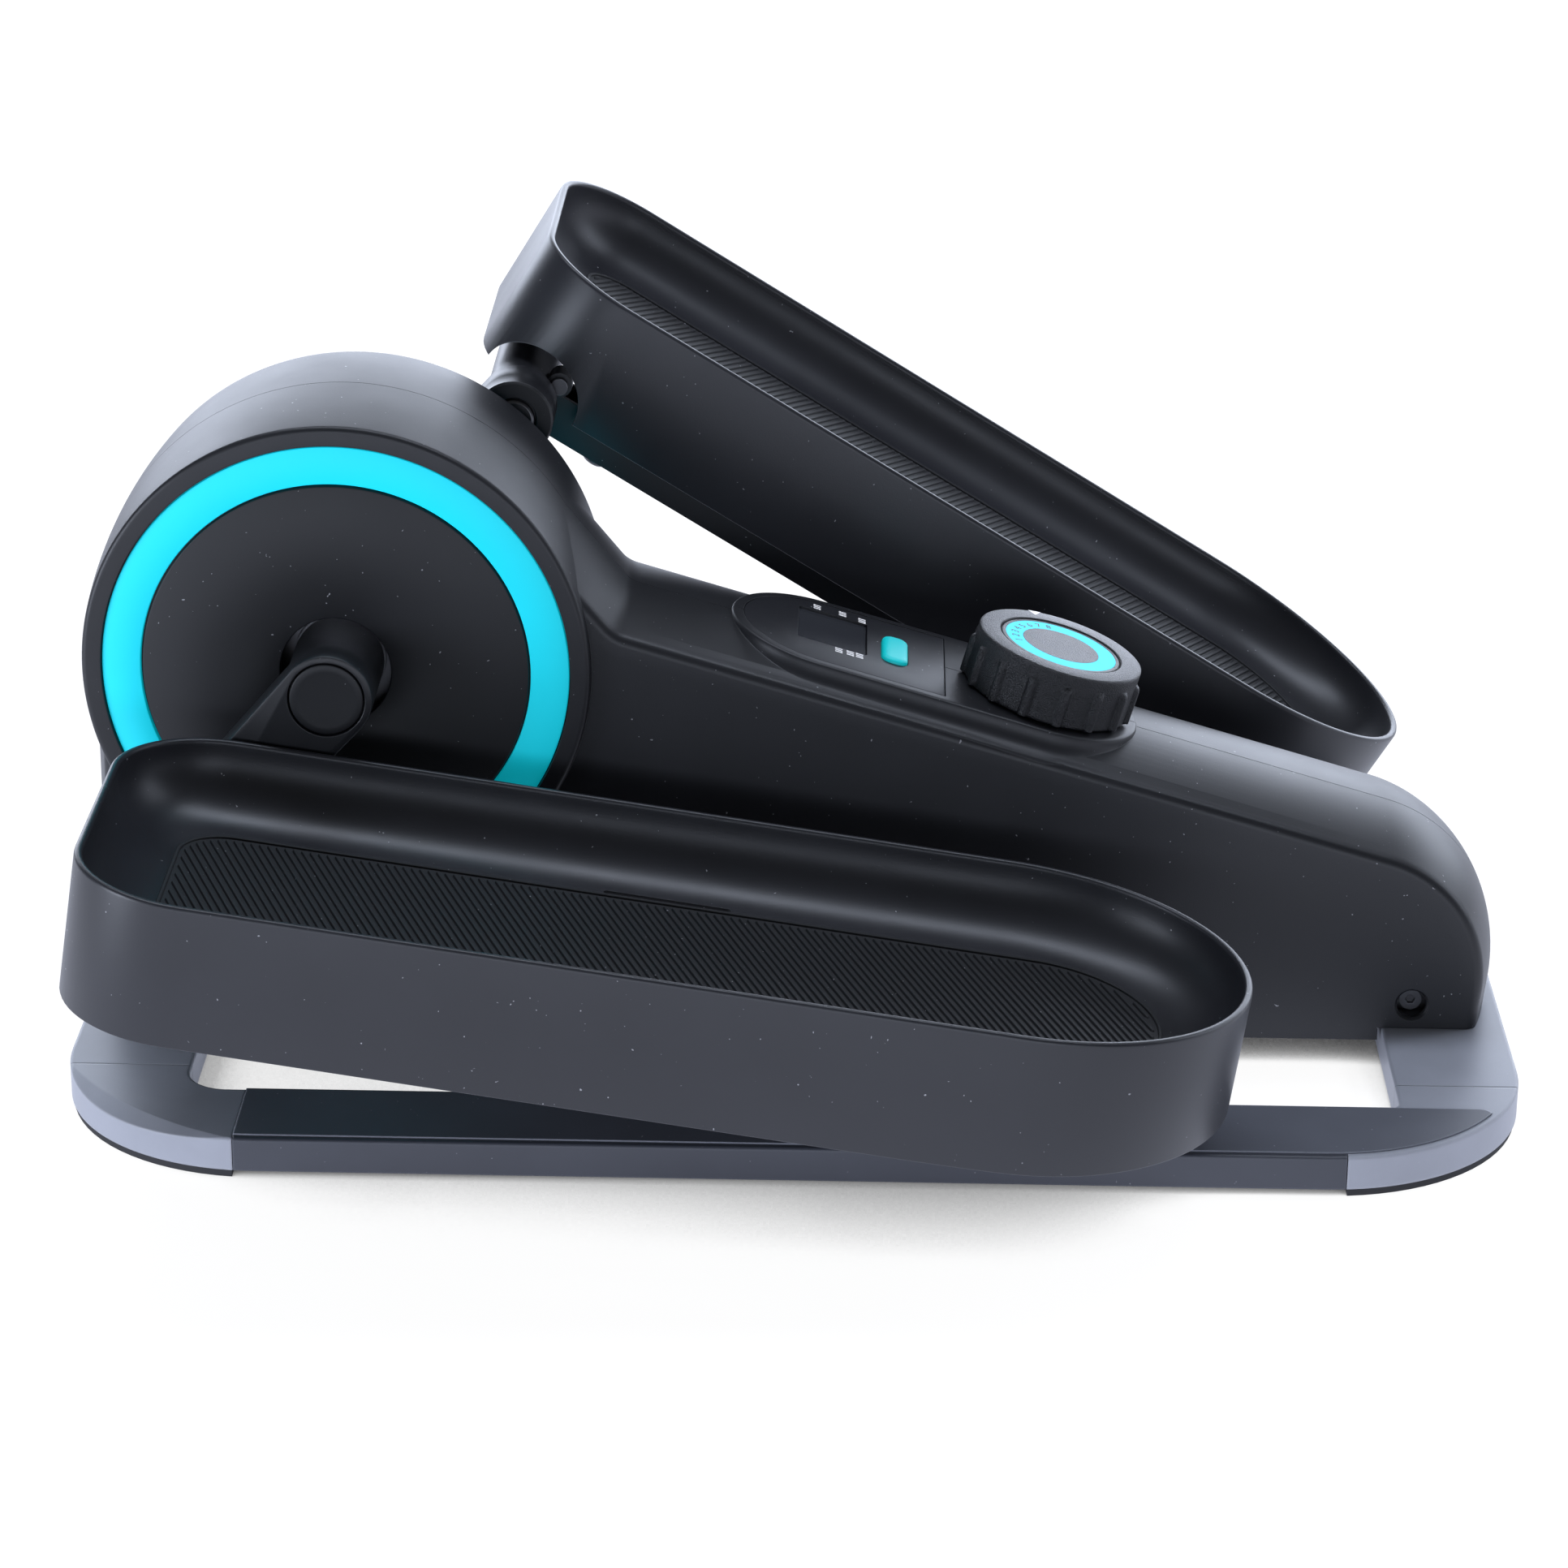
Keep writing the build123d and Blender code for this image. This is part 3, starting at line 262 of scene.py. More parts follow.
def make_object(name, points, faces):
    mesh = bpy.data.meshes.new(name)
    mesh.from_pydata((np.asarray(points, float) * MM).tolist(), [], [list(map(int, f)) for f in faces])
    work = bmesh.new()
    work.from_mesh(mesh)
    bmesh.ops.recalc_face_normals(work, faces=work.faces)
    work.to_mesh(mesh)
    work.free()
    made = bpy.data.objects.new(name, mesh)
    bpy.context.scene.collection.objects.link(made)
    return made


def loft(rings, looped=False, capped=True):
    """Points and quads through closed rings of equal length; looped joins the last ring to the first."""
    count = len(rings[0])
    points = np.concatenate([np.asarray(r, float) for r in rings])
    faces = []
    spans = len(rings) if looped else len(rings) - 1
    for i in range(spans):
        low, high = i * count, ((i + 1) % len(rings)) * count
        for j in range(count):
            k = (j + 1) % count
            faces.append((low + j, low + k, high + k, high + j))
    if capped and not looped:
        faces.append(tuple(range(count)))
        faces.append(tuple(range(len(points) - count, len(points))))
    return points, faces


def lathe_y(profile, x, z, segments=160, looped=False):
    """(radius, y) points turned about an axis along Y."""
    angle = np.linspace(0, 2 * math.pi, segments, endpoint=False)
    rings = [np.stack([x + r * np.cos(angle), np.full(segments, y), z + r * np.sin(angle)], 1)
             for r, y in profile]
    return loft(rings, looped)


def rounded_path(corners):
    """Corners as (x, z, radius, samples) joined by straight runs and tangent arcs."""
    out = []
    for i, (x, z, radius, count) in enumerate(corners):
        here = np.array([x, z], float)
        if radius <= 0:
            out.append(here)
            continue
        before = np.array(corners[i - 1][:2], float) - here
        after = np.array(corners[(i + 1) % len(corners)][:2], float) - here
        before /= np.linalg.norm(before)
        after /= np.linalg.norm(after)
        half = math.acos(float(np.clip(before @ after, -1, 1))) / 2
        centre = here + (before + after) / np.linalg.norm(before + after) * radius / math.sin(half)
        start = here + before * radius / math.tan(half) - centre
        end = here + after * radius / math.tan(half) - centre
        sign = math.copysign(1, start[0] * end[1] - start[1] * end[0])
        for step in np.linspace(0, sign * (math.pi - 2 * half), count):
            c, s = math.cos(step), math.sin(step)
            out.append(centre + (c * start[0] - s * start[1], s * start[0] + c * start[1]))
    return np.array(out)


def boolean(target, tool, operation):
    """Combines two objects into target and removes the tool."""
    change = target.modifiers.new("combine", "BOOLEAN")
    change.operation = operation
    change.solver = "EXACT"
    change.object = tool
    bpy.context.view_layer.update()
    evaluated = target.evaluated_get(bpy.context.evaluated_depsgraph_get())
    mesh = bpy.data.meshes.new_from_object(evaluated)
    target.modifiers.clear()
    target.data = mesh
    bpy.data.objects.remove(tool)
    return target


def cut(target, points_faces):
    return boolean(target, make_object("tool", *points_faces), "DIFFERENCE")


def fuse(target, points_faces):
    return boolean(target, make_object("tool", *points_faces), "UNION")


def merged(parts):
    """Several (points, faces) as one."""
    points, faces, base = [], [], 0
    for p, f in parts:
        points.append(np.asarray(p, float))
        faces += [tuple(i + base for i in face) for face in f]
        base += len(p)
    return np.concatenate(points), faces


def shade(obj, degrees=32.0):
    """Smooth shading that stays sharp across edges steeper than the given angle."""
    work = bmesh.new()
    work.from_mesh(obj.data)
    limit = math.radians(degrees)
    for face in work.faces:
        face.smooth = True
    for edge in work.edges:
        edge.smooth = len(edge.link_faces) == 2 and edge.calc_face_angle(0.0) < limit
    work.to_mesh(obj.data)
    work.free()


def finish_piece(obj, material, body, replaced=(), degrees=32.0):
    shade(obj, degrees)
    obj.data.materials.clear()
    obj.data.materials.append(FINISH[material])
    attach(obj, body)
    if replaced:
        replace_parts(obj, *replaced)
    return obj


def rebuilt(node_name, shape, degrees=32.0):
    """A finer mesh, given as an object or as points and faces, in place of one CAD node."""
    obj = shape if isinstance(shape, bpy.types.Object) else make_object(f"{node_name}_look", *shape)
    obj.name = f"{node_name}_look"
    return finish_piece(obj, SLOT[node_name], BODY[node_name], [node_name], degrees)


def flipped(side, points_faces):
    """Shapes are drawn for the left, at -Y."""
    points, faces = points_faces
    if side == RIGHT:
        points = np.asarray(points, float) * (1, -1, 1)
    return points, faces


def mirrored_copy(obj):
    """The same mesh on the other side of the centre plane."""
    twin = obj.copy()
    twin.data = obj.data.copy()
    bpy.context.scene.collection.objects.link(twin)
    work = bmesh.new()
    work.from_mesh(twin.data)
    for vertex in work.verts:
        vertex.co.y = -vertex.co.y
    bmesh.ops.reverse_faces(work, faces=work.faces)
    work.to_mesh(twin.data)
    work.free()
    return twin


# ---------------------------------------------------------------- housing

def back_height(x):
    """The back falls in a straight line from the neck to the heel."""
    return NECK_Z - BACK_SLOPE * (x - NECK_X)


PROFILE = [(-272.5, HOUSING_BOTTOM), (-272.5, 150.0), (-97.0, 217.6), (NECK_X, NECK_Z),
           (HEEL_X, back_height(HEEL_X)), (271.0, HOUSING_BOTTOM)]


def side_path(shift, bottom):
    """The side view of foot, neck, back and heel, moved inward by shift above a level bottom."""
    lines = []
    for i, (x0, z0) in enumerate(PROFILE):
        x1, z1 = PROFILE[(i + 1) % len(PROFILE)]
        dx, dz = x1 - x0, z1 - z0
        length = math.hypot(dx, dz)
        lines.append((x0 + dz / length * shift, z0 - dx / length * shift, dx, dz))
    lines[-1] = (0.0, bottom, -1.0, 0.0)
    moved = []
    for i, (bx, bz, bdx, bdz) in enumerate(lines):
        ax, az, adx, adz = lines[i - 1]
        t = ((bx - ax) * bdz - (bz - az) * bdx) / (adx * bdz - adz * bdx)
        moved.append((ax + adx * t, az + adz * t))
    radius = {3: (NECK_RADIUS + shift, 14), 4: (HEEL_RADIUS - shift, 40)}
    return rounded_path([(x, z, *radius.get(i, (0, 1))) for i, (x, z) in enumerate(moved)])


def body_half(y0, half, inset, bottom, fillet):
    """Left half of foot, neck and back: a crowned strip round the side path, closed by its side."""
    across = [(y, inset + CROWN * y * y) for y in np.linspace(0, half - fillet, 12)]
    across[0] = (y0, inset)
    if fillet > 0:
        lean = math.atan(2 * CROWN * (half - fillet * 0.7))
        touch = half - fillet + fillet * math.sin(lean)
        middle = CROWN * touch * touch + fillet * math.cos(lean)
        across += [(half - fillet + fillet * math.sin(t), inset + middle - fillet * math.cos(t))
                   for t in np.linspace(lean, math.pi / 2, 9)]
        across.append((half, inset + middle + 5))
    rings = []
    for y, shift in across:
        path = side_path(shift, bottom)
        rings.append(np.stack([path[:, 0], np.full(len(path), -y), path[:, 1]], 1))
    return loft(rings)


def drum_half(y0, half, inset, edge):
    """Left half of the drum, slightly crowned, with a rounded rim."""
    rim_y = half - edge
    profile = [(DRUM_RADIUS - inset, -y0)]
    profile += [(DRUM_RADIUS - inset - DRUM_CROWN * y * y, -y) for y in np.linspace(4, rim_y, 12)]
    rim = DRUM_RADIUS - inset - DRUM_CROWN * rim_y ** 2
    profile += [(rim - edge + edge * math.cos(t), -rim_y - edge * math.sin(t))
                for t in np.linspace(0.2, math.pi / 2, 7)]
    return lathe_y(profile, AXLE_X, AXLE_Z, 224)


SLOPE = math.atan(BACK_SLOPE)


def on_slope(points):
    """(s, y, height) along the back, from the console's heel edge and the crown, into the shared frame."""
    points = np.asarray(points, float)
    s, y, h = points[:, 0], points[:, 1], points[:, 2]
    x = CONSOLE_X + s * math.cos(SLOPE) + h * math.sin(SLOPE)
    z = back_height(CONSOLE_X) - s * math.sin(SLOPE) + h * math.cos(SLOPE)
    return np.stack([x, y, z], 1)


def sloped(points_faces):
    return on_slope(points_faces[0]), points_faces[1]


def pill(s0, r0, s1, r1, samples=48):
    """Outline round two circles on the centre line."""
    lean = math.asin((r1 - r0) / (s1 - s0))
    first = np.linspace(math.pi / 2 + lean, 3 * math.pi / 2 - lean, samples)
    second = np.linspace(-math.pi / 2 - lean, math.pi / 2 + lean, samples)
    return np.concatenate([np.stack([s0 + r0 * np.cos(first), r0 * np.sin(first)], 1),
                           np.stack([s1 + r1 * np.cos(second), r1 * np.sin(second)], 1)])


def platform():
    """The raised pill under console and knob, with coved sides that run out into the crown."""
    cove = [(-3.0, -16.0), (7.5, -16.0), (7.5, -7.6), (4.4, -6.5), (2.6, -5.2), (1.4, -3.6), (0.7, -2.0),
            (0.35, -0.6), (0.2, 0.4), (-0.15, 1.05), (-0.7, 1.4), (-1.4, PLATFORM_HEIGHT)]
    rings = []
    for grow, height in cove:
        outline = pill(PLATFORM_START, PLATFORM_HALF + grow, KNOB_S, PLATFORM_HALF + PLATFORM_FLARE + grow)
        rings.append((outline, height))
    return sloped(slab(rings))


def console_outline(shrink):
    """A D: half a circle towards the drum and a straight edge towards the knob."""
    radius = CONSOLE_HALF - shrink
    arc = np.linspace(math.pi / 2, 3 * math.pi / 2, 40)
    centre = -CONSOLE_LENGTH + CONSOLE_HALF
    curve = np.stack([centre + radius * np.cos(arc), radius * np.sin(arc)], 1)
    return np.concatenate([curve, [(-shrink, -radius), (-shrink, radius)]])


def rounded_rectangle(s, y, length, width, radius, samples=8):
    turns = ((-1, -1), (1, -1), (1, 1), (-1, 1))
    return rounded_path([(s + a * length / 2, y + b * width / 2, radius, samples) for a, b in turns])


def circle(s, y, radius, samples=72):
    angle = np.linspace(0, 2 * math.pi, samples, endpoint=False)
    return np.stack([s + radius * np.cos(angle), y + radius * np.sin(angle)], 1)


def slab(outlines, looped=False):
    """A loft through (outline, height) pairs."""
    rings = [np.column_stack([outline, np.full(len(outline), height)]) for outline, height in outlines]
    return loft(rings, looped)


def straight_slab(outline, low, high):
    return slab([(outline, low), (outline, high)])


def box_shape(low, high):
    outline = [(low[0], low[1]), (high[0], low[1]), (high[0], high[1]), (low[0], high[1])]
    return straight_slab(np.array(outline, float), low[2], high[2])


def housing_left():
    """One half shell: body, drum and platform joined, then hollowed, pocketed and trimmed at the seam."""
    body = body_half(SEAM / 2, BODY_HALF, 0, HOUSING_BOTTOM, EDGE_FILLET)
    shell = make_object("left_housing_shell_look", *body)
    fuse(shell, drum_half(SEAM / 2, DRUM_HALF, 0, 2.2))
    fuse(shell, platform())
    cut(shell, body_half(-2, BODY_HALF - WALL, WALL, HOUSING_BOTTOM + WALL, 0))
    for radius, start, end, segments in ((DRUM_RADIUS - 2 * WALL, 2, 6 - DRUM_HALF, 128),
                                         (RING_OUTER + 0.5, OUTSIDE, -RING_SEAT, 192),
                                         (HUB_OPENING + 2, OUTSIDE, -30, 96)):
        cut(shell, lathe_y([(radius, start), (radius, end)], AXLE_X, AXLE_Z, segments))
    cut(shell, sloped(straight_slab(console_outline(-0.25), PLATFORM_HEIGHT - PLATE_THICKNESS, 20)))
    cut(shell, sloped(straight_slab(console_outline(3.5), -14, 5)))
    cut(shell, sloped(straight_slab(circle(KNOB_S, 0, SHAFT_HOLE), -20, 10)))
    recess = [(6.6, OUTSIDE), (6.6, -BODY_HALF + 0.2), (5.8, -BODY_HALF + 1.0), (5.8, -BODY_HALF + 9)]
    for x, z in HOUSING_SCREWS:
        cut(shell, lathe_y(recess, x, z, 48))
    for low, high in ((-300, -CROSS_INNER_X + 1.5), (CROSS_INNER_X - 1.5, 300)):
        cut(shell, box_shape((low, -70, -5), (high, 20, BASE_TOP + 0.2)))
    cut(shell, box_shape((-400, -SEAM / 2, -20), (400, 90, 400)))
    return shell


left_shell = housing_left()
right_shell = mirrored_copy(left_shell)
rebuilt("left_housing_shell", left_shell, degrees=28)
rebuilt("right_housing_shell", right_shell, degrees=28)


def ring_profile(outer, inner, face, back, round_off):
    """A flat ring's section, its face edges rounded."""
    part = 0.3 * round_off
    return [(inner, back), (outer, back), (outer, face + round_off), (outer - part, face + part),
            (outer - round_off, face), (inner + round_off, face), (inner + part, face + part),
            (inner, face + round_off)]


for side in (LEFT, RIGHT):
    name = SIDE_NAME[side]
    ring = ring_profile(RING_OUTER, RING_INNER, -RING_FACE, -RING_SEAT, 0.5)
    rebuilt(f"{name}_accent_ring", flipped(side, lathe_y(ring, AXLE_X, AXLE_Z, 256, looped=True)))
    disc = ring_profile(RING_INNER - 0.7, HUB_OPENING, -RING_FACE - 0.1, -RING_SEAT, 0.6)
    rebuilt(f"{name}_side_disc", flipped(side, lathe_y(disc, AXLE_X, AXLE_Z, 256, looped=True)))


# ---------------------------------------------------------------- cranks

def crank_end(side):
    """The crank's angle, and where its pin is."""
    angle = math.radians(CRANK_ANGLE + (0 if side == LEFT else 180))
    return angle, AXLE_X + CRANK_RADIUS * math.cos(angle), AXLE_Z + CRANK_RADIUS * math.sin(angle)


def crank_arm(side):
    """A tapered arm with a hub inward of the drum's face, a boss at the pin and its recesses."""
    angle, end_x, end_z = crank_end(side)
    inner = CRANK_OUTER - CRANK_THICKNESS
    turn = np.array([[math.cos(angle), math.sin(angle)], [-math.sin(angle), math.cos(angle)]])

    def outline(shrink):
        flat = pill(0, CRANK_HUB - shrink, CRANK_RADIUS, CRANK_END - shrink, 56)
        return flat @ turn + (AXLE_X, AXLE_Z)

    rings = []
    for shrink, y in ((1.0, -inner), (0.3, -inner - 0.3), (0, -inner - 1.0), (0, -CRANK_OUTER + 1.2),
                      (0.35, -CRANK_OUTER + 0.35), (1.2, -CRANK_OUTER)):
        flat = outline(shrink)
        rings.append(np.stack([flat[:, 0], np.full(len(flat), y), flat[:, 1]], 1))
    arm = make_object("arm", *loft(rings))
    boss = -inner + CRANK_BOSS
    hub, end = CRANK_HUB - 0.02, CRANK_END - 0.02
    fuse(arm, lathe_y([(hub, -inner - 2), (hub, -38)], AXLE_X, AXLE_Z, 96))
    fuse(arm, lathe_y([(end, -inner - 2), (end, boss - 0.8), (CRANK_END - 0.8, boss)], end_x, end_z, 96))
    before, floor = -CRANK_OUTER - 1, -CRANK_OUTER + 9
    recess = [(CAP_RECESS + 0.6, before), (CAP_RECESS + 0.1, -CRANK_OUTER + 0.6),
              (CAP_RECESS, -CRANK_OUTER + 3.2)]
    cut(arm, lathe_y([(SPINDLE_BORE, floor), (SPINDLE_BORE, -30)], AXLE_X, AXLE_Z, 48))
    cut(arm, lathe_y(recess, AXLE_X, AXLE_Z, 96))
    cut(arm, lathe_y([(BOLT_BORE, before), (BOLT_BORE, floor)], AXLE_X, AXLE_Z, 48))
    cut(arm, lathe_y([(PIN_BORE, before), (PIN_BORE, boss + 1)], end_x, end_z, 48))
    nut = [(NUT_RECESS + 0.7, boss + 1), (NUT_RECESS, boss - 0.6), (NUT_RECESS, boss - 3)]
    cut(arm, lathe_y(nut, end_x, end_z, 48))
    if side == RIGHT:
        twin = mirrored_copy(arm)
        bpy.data.objects.remove(arm)
        return twin
    return arm


caps = []
for side in (LEFT, RIGHT):
    rebuilt(f"{SIDE_NAME[side]}_crank_arm", crank_arm(side), degrees=30)
    face = CRANK_OUTER - 0.1
    section = [(CRANK_CAP, -face + 3.1), (CRANK_CAP, -face + 0.8), (CRANK_CAP - 0.25, -face + 0.25),
               (CRANK_CAP - 0.8, -face), (CRANK_CAP - 3.0, -face + 0.05), (CRANK_CAP - 4.0, -face + 0.12)]
    caps.append(flipped(side, lathe_y(section, AXLE_X, AXLE_Z, 96)))
rebuilt("crank_caps", merged(caps))


# ---------------------------------------------------------------- pedals

class PedalFrame:
    """Where a tray's own (u, v, n) lies in the shared frame."""

    def __init__(self, side):
        _, pin_x, pin_z = crank_end(side)
        span = math.hypot(ROLLER_U - PIN_U, ROLLER_N - PIN_N)
        own_tilt = math.atan((ROLLER_N - PIN_N) / (ROLLER_U - PIN_U))
        pitch = math.asin((pin_z - ROLLER_AXLE_Z) / span) + own_tilt
        self.side = side
        self.along = np.array([math.cos(pitch), 0, -math.sin(pitch)])
        self.up = np.array([math.sin(pitch), 0, math.cos(pitch)])
        self.origin = np.array([pin_x, -TRAY_CENTRE_Y, pin_z]) - PIN_U * self.along - PIN_N * self.up

    def place(self, points_faces):
        u, v, n = np.split(np.asarray(points_faces[0], float), 3, axis=1)
        placed = self.origin + u * self.along + v * (0, 1, 0) + n * self.up
        return flipped(self.side, (placed, points_faces[1]))


def tray_outline(inset):
    """Flat front with round corners, straight sides and an elliptical heel."""
    half = TRAY_HALF - inset
    corner = TRAY_CORNER - inset
    heel = TRAY_LENGTH - TRAY_HEEL
    angle = np.linspace(0, math.pi / 2, 18)
    upper = [np.stack([TRAY_CORNER - corner * np.cos(angle), half - corner + corner * np.sin(angle)], 1),
             np.stack([np.linspace(TRAY_CORNER, heel, 30)[1:-1], np.full(28, half)], 1)]
    sweep = np.linspace(math.pi / 2, -math.pi / 2, 72)
    upper.append(np.stack([heel + (TRAY_HEEL - inset) * np.cos(sweep), half * np.sin(sweep)], 1))
    lower = [part[::-1] * (1, -1) for part in (upper[1], upper[0])]
    front_v = np.linspace(-(half - corner), half - corner, 8)[1:-1]
    front = np.stack([np.full(6, float(inset)), front_v], 1)
    return np.concatenate([*upper, *lower, front])


def skirt_bottom(u):
    """The skirt's lower edge, which rises in a curve towards the heel."""
    past = np.maximum(0, u - HEEL_RISE_U)
    return -SKIRT_DEPTH + past ** 2 / (2 * HEEL_RISE_RADIUS)


def tray_ring(inset, height):
    """height is a level, or an offset from the skirt's lower edge given as ('edge', offset)."""
    outline = tray_outline(inset)
    if isinstance(height, tuple):
        level = skirt_bottom(outline[:, 0]) + height[1]
    else:
        level = np.full(len(outline), float(height))
    return np.column_stack([outline, level])


def arc(centre_inset, centre_level, radius, start, stop, count):
    """Section points of a cove: angle 0 points outward to the wall, 90 points down to the floor."""
    return [(centre_inset - radius * math.cos(t), centre_level - radius * math.sin(t))
            for t in np.linspace(math.radians(start), math.radians(stop), count)]


def tray_body():
    """One wall that runs from the floor's underside down the skirt, over the rim and into the bowl."""
    underside = BOWL_DEPTH + FLOOR_THICKNESS
    outer = COVE + 2.0
    rings = [(TRAY_WALL + outer, -underside)]
    rings += arc(TRAY_WALL - 0.2 + outer, -underside + outer, outer, 88, 24, 9)
    rings += [(TRAY_WALL, -14.0), (TRAY_WALL, ("edge", 0.7)), (TRAY_WALL - 0.7, ("edge", 0.0)),
              (0.7, ("edge", 0.0)), (0.2, ("edge", 0.2)), (0.0, ("edge", 0.7)), (0.0, -20.0), (0.0, -1.6),
              (0.1, -0.85), (0.4, -0.35), (0.85, -0.08), (1.3, 0.0), (1.8, 0.0), (2.3, -0.12), (2.75, -0.5),
              (2.95, -1.0), (TRAY_WALL, -1.7)]
    rings += arc(TRAY_WALL + COVE, -BOWL_DEPTH + COVE, COVE, 0, 90, 15)
    return loft([tray_ring(inset, level) for inset, level in rings])


def build_tray():
    """The tray with its notch round the link's barrel, drain slots and the two bosses of the link.

    In the tray's own frame u, v and n stand for x, y and z, so lathe_y turns about v.
    """
    tray = make_object("tray", *tray_body())
    cut(tray, lathe_y([(NOTCH_RADIUS, 45), (NOTCH_RADIUS, 90)], NOTCH_U, NOTCH_N, 96))
    for v in (-DRAIN_V, DRAIN_V):
        slot = rounded_rectangle(DRAIN_U, v, DRAIN_LENGTH, DRAIN_WIDTH, DRAIN_WIDTH / 2 - 0.01)
        cut(tray, straight_slab(slot, -40, -10))
    for u in STUD_US:
        fuse(tray, straight_slab(circle(u, STUD_V, STUD_RADIUS, 32), LINK_FLOOR + 0.1, -BOWL_DEPTH - 1))
        cut(tray, straight_slab(circle(u, STUD_V, STUD_HOLE, 24), LINK_FLOOR - 1, LINK_FLOOR + 19))
    points = np.array([v.co for v in tray.data.vertices]) / MM
    faces = [tuple(p.vertices) for p in tray.data.polygons]
    bpy.data.objects.remove(tray)
    return points, faces


def mat_outline(inset):
    """The tread mat: round front corners and a rounded heel."""
    half, corner = MAT_HALF - inset, MAT_CORNER - inset
    angle = np.linspace(0, math.pi / 2, 14)
    top = np.stack([MAT_START + MAT_CORNER - corner * np.cos(angle),
                    half - corner + corner * np.sin(angle)], 1)
    sweep = np.linspace(math.pi / 2, -math.pi / 2, 40)
    heel = np.stack([MAT_HEEL_U + (MAT_HEEL - inset) * np.cos(sweep), half * np.sin(sweep)], 1)
    bottom = (top * (1, -1))[::-1]
    return np.concatenate([top, heel, bottom])


def clip_line(outline, origin, direction):
    """Where a line enters and leaves a convex outline, as two distances along it."""
    hits = []
    for a, b in zip(outline, np.roll(outline, -1, axis=0)):
        edge = b - a
        cross = direction[0] * edge[1] - direction[1] * edge[0]
        if abs(cross) < 1e-9:
            continue
        gap = a - origin
        along = (gap[0] * edge[1] - gap[1] * edge[0]) / cross
        share = (gap[0] * direction[1] - gap[1] * direction[0]) / cross
        if 0 <= share <= 1:
            hits.append(along)
    return (min(hits), max(hits)) if len(hits) >= 2 else None


def mat_rib(start, end, direction, low, high):
    """A rib from start to end, rounded on top and sloped down at both ends."""
    across = np.array([direction[1], -direction[0]])
    slopes = ((0, 0.35, 0.55), (0.7, 0.75, 0.1), (1.6, 1.0, 0))
    stations = [(start, share, narrow, drop) for share, narrow, drop in slopes]
    stations += [(end, -share, narrow, drop) for share, narrow, drop in slopes[::-1]]
    rings = []
    for point, share, narrow, drop in stations:
        centre = point + direction * share
        side = [(0.85, low - 0.3), (0.85 * narrow, high - 0.35 - drop), (0.55 * narrow, high - 0.05 - drop)]
        section = [(-w, h) for w, h in side] + side[::-1]
        rings.append([(*(centre + across * w), h) for w, h in section])
    return loft(rings)


def build_mat():
    """A thin base, a raised border and slanting ribs."""
    floor, low, high = -BOWL_DEPTH, -BOWL_DEPTH + 1.1, -BOWL_DEPTH + 2.0
    base = [(0.4, floor), (0, floor + 0.4), (0, low - 0.2), (0.2, low)]
    border = [(0.0, low - 0.3), (0.05, high - 0.3), (0.35, high), (1.15, high), (1.45, high - 0.3),
              (1.5, low - 0.3)]
    parts = [slab([(mat_outline(i), h) for i, h in base]),
             slab([(mat_outline(i), h) for i, h in border], looped=True)]
    inside = mat_outline(3.2)
    lean = math.radians(MAT_RIB_ANGLE)
    direction = np.array([math.sin(lean), math.cos(lean)])
    for u in np.arange(0, 440, MAT_RIB_PITCH / math.cos(lean)):
        foot = np.array([u, 0.0])
        span = clip_line(inside, foot, direction)
        if span is None or span[1] - span[0] < 4:
            continue
        parts.append(mat_rib(foot + direction * span[0], foot + direction * span[1], direction, low, high))
    return merged(parts)


def build_roller():
    """A wheel with rounded treads and a recessed web."""
    radius = ROLLER_AXLE_Z - (BASE_TOP + 0.6) - 0.3
    rim, web = ROLLER_HALF, ROLLER_HALF - 3
    half = [(ROLLER_BORE, rim), (ROLLER_HUB, rim), (ROLLER_HUB + 0.6, web), (radius - 4.6, web),
            (radius - 4.0, rim), (radius - 1.5, rim), (radius - 0.45, rim - 0.45), (radius, rim - 1.5)]
    section = [(r, ROLLER_V - v) for r, v in half] + [(r, ROLLER_V + v) for r, v in half[::-1]]
    return lathe_y(section, ROLLER_U, ROLLER_N, 96, looped=True)


tray_mesh, mat_mesh, roller_mesh = build_tray(), build_mat(), build_roller()
for side in (LEFT, RIGHT):
    pedal = PedalFrame(side)
    name = SIDE_NAME[side]
    rebuilt(f"{name}_foot_tray", pedal.place(tray_mesh), degrees=30)
    rebuilt(f"{name}_tread_mat", pedal.place(mat_mesh), degrees=40)
    rebuilt(f"{name}_roller", pedal.place(roller_mesh))


# ---------------------------------------------------------------- console and knob

